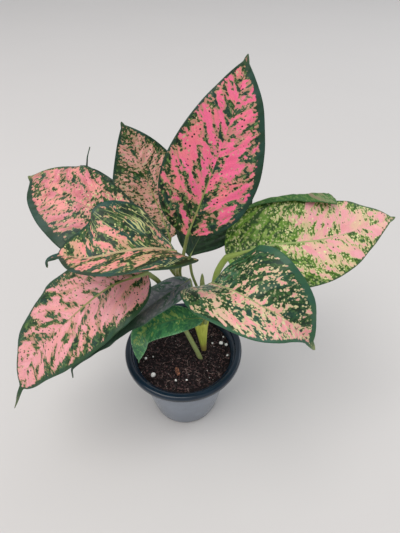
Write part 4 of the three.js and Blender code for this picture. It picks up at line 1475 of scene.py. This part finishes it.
class EVERGREEN_OT_soil(bpy.types.Operator):
    """Fill the pot with soil and strew crumbs, fibres and fine perlite over it"""

    bl_idname = "evergreen.soil"
    bl_label = "Soil"
    bl_options = {"REGISTER", "UNDO"}

    def execute(self, context):
        settings = context.scene.evergreen_soil
        soil = new_piece("moist_soil", *soil_mesh(settings), soil_material(settings))
        stand_in(soil, "soil", ["potting_soil"])
        # Each kind: its shape and material, how many on a square metre, and the tree's settings.
        crumb = bits_material("crumb_brown", (0.006, 0.004, 0.005), (0.14, 0.066, 0.064), 560, 0.5)
        fibre = bits_material("fibre_brown", (0.04, 0.018, 0.018), (0.55, 0.38, 0.34), 240, 0.5)
        speck = bits_material("perlite_specks", (0.60, 0.56, 0.54), (0.92, 0.90, 0.88), 800, 0.7)
        strewn = {
            "soil_crumbs": {
                "Shape": crumb_shape("crumb", (1, 1, 0.8), 3), "Material": crumb,
                "Density": settings.crumbs, "Smallest": 0.6, "Largest": 2.9, "Tilt": 3.1,
                "Sink": 0.0003, "Reach": 0.0006, "Seed": 11,
            },
            "soil_fibres": {
                "Shape": fibre_shape(), "Material": fibre,
                "Density": settings.fibres, "Smallest": 0.6, "Largest": 2.3, "Tilt": 0.3,
                "Sink": -0.0004, "Reach": 0.002, "Seed": 12,
            },
            "fine_perlite": {
                "Shape": crumb_shape("speck", (1, 0.9, 0.7), 9), "Material": speck,
                "Density": settings.specks, "Smallest": 0.5, "Largest": 1.3, "Tilt": 3.1,
                "Sink": -0.0002, "Reach": 0.0006, "Seed": 13,
            },
        }
        tree = scatter_tree()
        for name, inputs in strewn.items():
            piece = run_nodes(show(bpy.data.objects.new(name, soil.data)), tree, **inputs)
            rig.ride(piece, BODY)
            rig.slot(piece, "perlite" if name == "fine_perlite" else "soil")
        return {"FINISHED"}


def grains_tree():
    """A rough perlite grain at each point, as wide as the point's girth."""
    tree, wire, given = geometry_tree("Perlite grains", {"Lumps": 0.0007})
    points = wire.first("GeometryNodeMeshToPoints", {"Mesh": given["Geometry"]})
    ball = wire.first("GeometryNodeMeshIcoSphere", {"Radius": 0.5, "Subdivisions": 4})
    girth = wire.measure("girth")
    size = wire.place(girth, wire.times(girth, 0.92), wire.times(girth, 0.75))
    turn = wire.place(0.0, 0.0, wire.first("GeometryNodeInputIndex"))
    placed = wire.first(
        "GeometryNodeInstanceOnPoints",
        {"Points": points, "Instance": ball, "Scale": size, "Rotation": turn},
    )
    real = wire.first("GeometryNodeRealizeInstances", {"Geometry": placed})
    position = wire.first("GeometryNodeInputPosition")
    elsewhere = wire.first("ShaderNodeVectorMath", {0: position, 1: (3.0, 1.0, 7.0)})
    coarse = wire.times(wire.noise(elsewhere, 450, detail=2), 0.75)
    fine = wire.times(wire.noise(position, 1500, detail=2), 0.35)
    lift = wire.times(wire.less(wire.sum(coarse, fine), 0.85), given["Lumps"])
    normal = wire.first("GeometryNodeInputNormal")
    push = wire.first("ShaderNodeVectorMath", {0: normal, "Scale": lift}, operation="SCALE")
    rough = wire.first("GeometryNodeSetPosition", {"Geometry": real, "Offset": push})
    finish_tree(wire, rough, given["Material"])
    return tree


def bark_rings(middle):
    """Rings of a rough sliver of bark that lies slantwise on the soil."""
    rng = np.random.default_rng(8)
    angle = all_round(12)
    turn = 1.88
    reach, breadth, depth = 5.1, 1.8, 0.85  # half sizes
    rings = []
    for share in np.linspace(-1, 1, 14):
        end = math.sqrt(max(1 - abs(share) ** 5, 0.15))
        wide = breadth * end * (1 + 0.12 * rng.standard_normal(12))
        tall = depth * end * (1 + 0.25 * rng.standard_normal(12))
        y, z = np.cos(angle) * wide, np.sin(angle) * tall
        x = reach * share + 0.25 * rng.standard_normal(12)
        turned = (x * math.cos(turn) - y * math.sin(turn), x * math.sin(turn) + y * math.cos(turn))
        rings.append(middle + np.stack([*turned, z], 1))
    return rings


class EVERGREEN_OT_grains(bpy.types.Operator):
    """Lay the perlite grains and the bark chip on the soil"""

    bl_idname = "evergreen.grains"
    bl_label = "Perlite and bark"
    bl_options = {"REGISTER", "UNDO"}

    def execute(self, context):
        places, widths = [], []
        for node in PERLITE:
            low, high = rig.box(node)
            places.append([(a + b) / 2 for a, b in zip(low, high)])
            widths.append(max(high[0] - low[0], high[1] - low[1]))
        piece = guide("perlite_grains", places, chained=False, girth=widths)
        white = bits_material("perlite_white", (0.93, 0.92, 0.90), (0.99, 0.985, 0.97), 900, 0.7)
        run_nodes(piece, grains_tree(), Material=white)
        stand_in(piece, "perlite", PERLITE)

        low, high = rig.box("bark_chip")
        bark = bits_material("bark_brown", (0.10, 0.035, 0.020), (0.42, 0.17, 0.09), 450, 0.6)
        rings = bark_rings(np.array((low + high) / 2) / MM)
        chip = new_piece("bark_sliver", *rings_mesh(rings), bark, smooth=False)
        stand_in(chip, "bark", ["bark_chip"])
        return {"FINISHED"}


# ---- stage --------------------------------------------------------------------------------------


class EVERGREEN_OT_stage(bpy.types.Operator):
    """Set the pale floor, the soft light and the camera"""

    bl_idname = "evergreen.stage"
    bl_label = "Stage"
    bl_options = {"REGISTER", "UNDO"}

    def execute(self, context):
        scene = context.scene
        settings = scene.evergreen_stage
        floor_finish, wire, shader = new_material("pale_floor")
        cloud = wire.noise(wire.object_place(), 3, detail=3)
        shade = wire.blend(cloud, settings.floor_colour, [c * 0.985 for c in settings.floor_colour])
        feed(wire, shader, Base_Color=shade, Roughness=0.7)
        reach = 12
        corners = [(-reach, -reach, 0), (reach, -reach, 0), (reach, reach, 0), (-reach, reach, 0)]
        ground = new_piece("studio_floor", corners, [(0, 1, 2, 3)], floor_finish, smooth=False)
        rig.stage(ground)

        world = bpy.data.worlds.new("even_light")
        world.use_nodes = True
        background = world.node_tree.nodes["Background"]
        background.inputs["Color"].default_value = (0.97, 0.98, 1.0, 1)
        background.inputs["Strength"].default_value = settings.sky
        scene.world = world
        lights = [("overhead_softbox", (-0.9, -0.5, 2.6), 2.0, settings.key, (1.0, 0.97, 0.93)),
                  ("side_softbox", (2.2, 1.2, 1.8), 1.6, settings.key * 0.35, (0.92, 0.97, 1.0))]
        for name, where, width, power, tone in lights:
            light = bpy.data.lights.new(name, "AREA")
            light.size = width
            light.energy = power
            light.color = tone
            lamp = bpy.data.objects.new(name, light)
            lamp.location = where
            aim = Vector((0, 0, 0.15)) - lamp.location
            lamp.rotation_euler = aim.to_track_quat("-Z", "Y").to_euler()
            lamp.visible_camera = False
            show(lamp)

        camera = bpy.data.cameras.new("camera")
        camera.lens = settings.lens
        camera.sensor_width = 36
        stand = bpy.data.objects.new("camera", camera)
        stand.location = settings.camera_place
        stand.rotation_euler = (settings.camera_pitch, 0, 0)
        scene.camera = show(stand)
        scene.view_settings.view_transform = "Standard"
        return {"FINISHED"}


# ---- add-on -------------------------------------------------------------------------------------


class EVERGREEN_PT_builder(bpy.types.Panel):
    """Lists the pieces in the order in which they are made"""

    bl_idname = "EVERGREEN_PT_builder"
    bl_label = "Potted evergreen"
    bl_space_type = "VIEW_3D"
    bl_region_type = "UI"
    bl_category = "Evergreen"

    def draw(self, context):
        for settings, operators in STEPS:
            box = self.layout.box()
            for operator in operators:
                box.operator(operator.bl_idname)
            group = getattr(context.scene, settings, None)
            for name in group.bl_rna.properties.keys() if group else ():
                if name not in ("rna_type", "name"):
                    box.prop(group, name)


STEPS = [
    ("evergreen_stage", [EVERGREEN_OT_stage]),
    ("evergreen_pot", [EVERGREEN_OT_pot]),
    ("evergreen_soil", [EVERGREEN_OT_soil, EVERGREEN_OT_grains]),
    ("evergreen_leaves", [EVERGREEN_OT_stem, EVERGREEN_OT_leaves]),
]
GROUPS = {
    "evergreen_leaves": EVERGREEN_PG_leaves,
    "evergreen_pot": EVERGREEN_PG_pot,
    "evergreen_soil": EVERGREEN_PG_soil,
    "evergreen_stage": EVERGREEN_PG_stage,
}
CLASSES = [*GROUPS.values(), *(operator for _, made in STEPS for operator in made), EVERGREEN_PT_builder]


def register():
    for item in CLASSES:
        bpy.utils.register_class(item)
    for name, group in GROUPS.items():
        setattr(bpy.types.Scene, name, PointerProperty(type=group))


def unregister():
    for name in GROUPS:
        delattr(bpy.types.Scene, name)
    for item in reversed(CLASSES):
        bpy.utils.unregister_class(item)


def main():
    """Builds the plant and notes the CAD's and the finished model's boxes."""
    register()
    bpy.ops.evergreen.stage()
    bpy.ops.evergreen.pot()
    bpy.ops.evergreen.soil()
    bpy.ops.evergreen.grains()
    bpy.ops.evergreen.stem()
    bpy.ops.evergreen.leaves()
    boxes = {"cad": CAD_BOX, "visual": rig.bounds()}
    with open("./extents.json", "w") as out:
        json.dump({name: [[float(v) for v in end] for end in ends] for name, ends in boxes.items()}, out)


if __name__ == "__main__":
    main()
